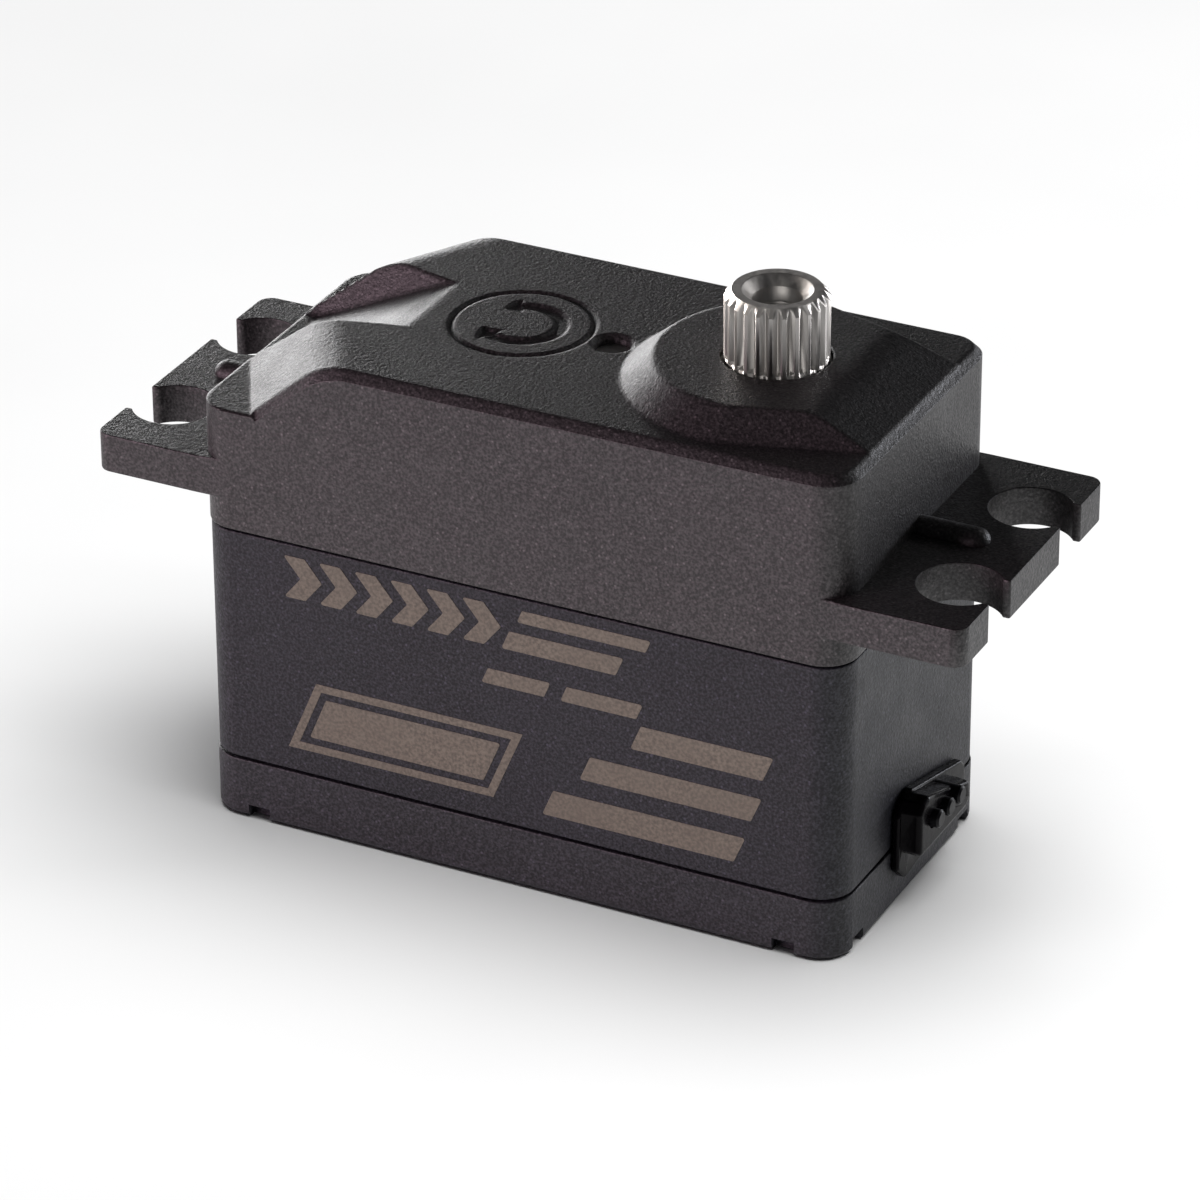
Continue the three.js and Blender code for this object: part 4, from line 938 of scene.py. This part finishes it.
def dress_inside():
    """Carried-over CAD parts take a procedural finish from the record's slot."""
    brass = metal("brass", (0.50, 0.34, 0.12), 0.32)
    can = metal("can_steel", (0.45, 0.45, 0.45), 0.34)
    copper = metal("copper", (0.46, 0.18, 0.07), 0.34, stretch=(0.1, 1, 1), streak=0.25)
    ferrite = moulded_plastic("ferrite", (0.04, 0.04, 0.043), 0.62, speck=1.5)
    laminations = metal("laminations", (0.30, 0.29, 0.28), 0.42, stretch=(0.1, 0.1, 1), streak=0.3)
    pale = moulded_plastic("pale_plastic", (0.62, 0.59, 0.52), 0.5, speck=1.05, wear_and_highlight_gain=1.1)
    track = moulded_plastic("resistor_track", (0.10, 0.045, 0.016), 0.6, speck=1.3)
    board = moulded_plastic("board_laminate", (0.012, 0.068, 0.025), 0.4, speck=1.3)
    chip = moulded_plastic("chip_resin", (0.01, 0.01, 0.011), 0.5, speck=2.0)
    sleeve = rubber("capacitor_sleeve", (0.03, 0.03, 0.05), 0.3)
    yellow = rubber("wire_yellow", (0.62, 0.35, 0.015), 0.42)
    red = rubber("wire_red", (0.35, 0.014, 0.01), 0.42)
    brown = rubber("wire_brown", (0.045, 0.018, 0.008), 0.42)
    finishes = {
        "brass": brass, "can_steel": can, "copper": copper, "ferrite": ferrite, "laminations": laminations,
        "pale_plastic": pale, "resistor_track": track, "board_laminate": board, "chip_resin": chip,
        "capacitor_sleeve": sleeve, "wire_yellow": yellow, "wire_red": red, "wire_brown": brown,
        "lead_black": LEAD_BLACK,
        "rubber": RUBBER, "shaft_steel": SHAFT_STEEL, "black_steel": BLACK_STEEL,
        "top_plastic": TOP_PLASTIC, "lower_plastic": LOWER_PLASTIC,
    }
    for name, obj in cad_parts.items():
        slot = obj.data.materials[0].name if obj.data.materials else ""
        material = finishes.get(slot.split(".")[0])
        if material is None:
            raise RuntimeError(f"{name} has no finish for slot {slot!r}")
        for holder in obj.material_slots:
            holder.link = "OBJECT"
            holder.material = material


# ---- studio ------------------------------------------------------------------------------------------

VIEW_AZIMUTH = math.radians(26.56)
VIEW_ELEVATION = math.radians(28.53)
VIEW_ROLL = math.radians(-0.225)
VIEW_DISTANCE = 363.4 * MM
VIEW_TARGET = Vector((-11.07, 0, 13.89)) * MM
VIEW_LENS = 188.8

FLOOR_REACH, FLOOR_CORNER = 1500, 200
FLOOR_DEPTH, FLOOR_TOP = 10, -0.05
FLOOR_FADE = (0.25, 0.9)         # the floor fades into the pale backdrop between these distances (m)
WORLD_LIGHT, WORLD_SEEN = 0.05, 1.0
LAMPS = [                        # name, azimuth, elevation, distance (m), size (m), power (W), colour
    ("left_back", -127, 1, 0.9, (0.7, 0.36), 10.2, (1, 1, 1)),
    ("right_back", 149, 23, 1.0, (0.4, 0.3), 0.8, (1, 1, 1)),
    ("right_low", 150, 0, 1.0, (0.5, 0.2), 5.2, (0.9, 0.92, 1.0)),
]
FRONT_LAMP = ("front_left", -40, 8, 1.0, (0.8, 0.4), 9.0, (1.0, 0.72, 0.84))
SHAFT_LAMPS = [
    ("shaft_left", -94, 4, 0.6, (0.3, 0.25), 12.5, (1.0, 0.93, 0.88)),
    ("shaft_front", 5, 30, 0.6, (0.3, 0.3), 0.7, (1, 0.98, 0.95)),
    ("shaft_right", 132, 4, 0.6, (0.3, 0.25), 5.2, (1, 1, 1)),
]
FLOOR_LAMP = ("floor_lamp", 120, 80, 0.5, (0.5, 0.5), 4.3, (1, 1, 1))


def direction(azimuth, elevation):
    """Unit vector towards a viewpoint; azimuth 0 is in front (-Y), 90 degrees is at +X."""
    flat = math.cos(elevation)
    return Vector((math.sin(azimuth) * flat, -math.cos(azimuth) * flat, math.sin(elevation)))


def make_camera():
    data = bpy.data.cameras.new("camera")
    data.lens = VIEW_LENS
    data.sensor_width = 36
    data.clip_start, data.clip_end = 0.01, 20
    camera = new_object("camera", data)
    back = direction(VIEW_AZIMUTH, VIEW_ELEVATION)
    aim = (-back).to_track_quat("-Z", "Y").to_matrix().to_4x4()
    place = Matrix.Translation(VIEW_TARGET + back * VIEW_DISTANCE)
    camera.matrix_world = place @ aim @ Matrix.Rotation(VIEW_ROLL, 4, "Z")
    bpy.context.scene.camera = camera


def softbox(name, azimuth, elevation, distance, size, power, colour):
    data = bpy.data.lights.new(name, "AREA")
    data.shape = "RECTANGLE"
    data.size, data.size_y = size
    data.energy = power
    data.color = colour
    lamp = new_object(name, data)
    back = direction(math.radians(azimuth), math.radians(elevation))
    lamp.location = VIEW_TARGET + back * distance
    lamp.rotation_mode = "QUATERNION"
    lamp.rotation_quaternion = (-back).to_track_quat("-Z", "Y")
    return lamp


def light_only(lamp, state, *targets):
    """Lets a lamp light its targets alone (INCLUDE), or everything but them (EXCLUDE)."""
    lit = bpy.data.collections.new(lamp.name + "_lit")
    for target in targets:
        lit.objects.link(target)
    for member in lit.collection_objects:
        member.light_linking.link_state = state
    lamp.light_linking.receiver_collection = lit


def make_floor():
    """Pale floor; far out it brightens for the camera alone."""
    outline = rectangle(-FLOOR_REACH, FLOOR_REACH, -FLOOR_REACH, FLOOR_REACH, FLOOR_CORNER)
    floor = prism("floor", outline, -FLOOR_DEPTH, FLOOR_TOP, 0, 1)
    floor.data.transform(Matrix.Scale(MM, 4))
    n = Nodes("pale_floor")
    tone = n.remap(n.noise(60.0, 2.0), 0.3, 0.7, 0.0, 1.0)
    n.link(n.mix(tone, (0.80, 0.80, 0.80), (0.84, 0.84, 0.84)), n.surface.inputs["Base Color"])
    n.link(n.remap(n.noise(20.0, 2.0), 0.3, 0.7, 0.55, 0.62), n.surface.inputs["Roughness"])
    distance = n.add("ShaderNodeVectorMath", operation="LENGTH")
    n.link(n.place, distance.inputs[0])
    far = n.remap(distance.outputs["Value"], *FLOOR_FADE, 0.0, 1.0)
    seen = n.add("ShaderNodeLightPath").outputs["Is Camera Ray"]
    n.link(n.maths("MULTIPLY", far, seen), n.surface.inputs["Emission Strength"])
    n.surface.inputs["Emission Color"].default_value = (0.85, 0.85, 0.85, 1)
    floor.data.materials.append(n.material)
    return floor


def make_world():
    """Pale to the camera, dim as a light."""
    world = bpy.data.worlds.new("studio")
    world.use_nodes = True
    tree = world.node_tree
    background = tree.nodes["Background"]
    background.inputs["Color"].default_value = (0.96, 0.97, 1.0, 1)
    paths = tree.nodes.new("ShaderNodeLightPath")
    strength = tree.nodes.new("ShaderNodeMapRange")
    strength.inputs["To Min"].default_value = WORLD_LIGHT
    strength.inputs["To Max"].default_value = WORLD_SEEN
    tree.links.new(paths.outputs["Is Camera Ray"], strength.inputs["Value"])
    tree.links.new(strength.outputs["Result"], background.inputs["Strength"])
    bpy.context.scene.world = world


def make_studio(shaft):
    make_camera()
    make_world()
    floor = make_floor()
    for lamp in LAMPS:
        light_only(softbox(*lamp), "EXCLUDE", floor)
    light_only(softbox(*FRONT_LAMP), "EXCLUDE", floor, shaft)
    for lamp in SHAFT_LAMPS:
        light_only(softbox(*lamp), "INCLUDE", shaft)
    light_only(softbox(*FLOOR_LAMP), "INCLUDE", floor)
    bpy.context.scene.view_settings.view_transform = "Standard"


make_top_case()
make_middle_case()
make_bottom_cover()
spline_shaft = make_output_shaft()
make_grommet()
for number, lead_node in enumerate(LEADS, 1):
    make_lead(number, lead_node)
for number, (screw_x, screw_y) in enumerate(SCREW_PLACES, 1):
    make_case_screw(number, screw_x, screw_y)
make_print()
dress_inside()
make_studio(spline_shaft)
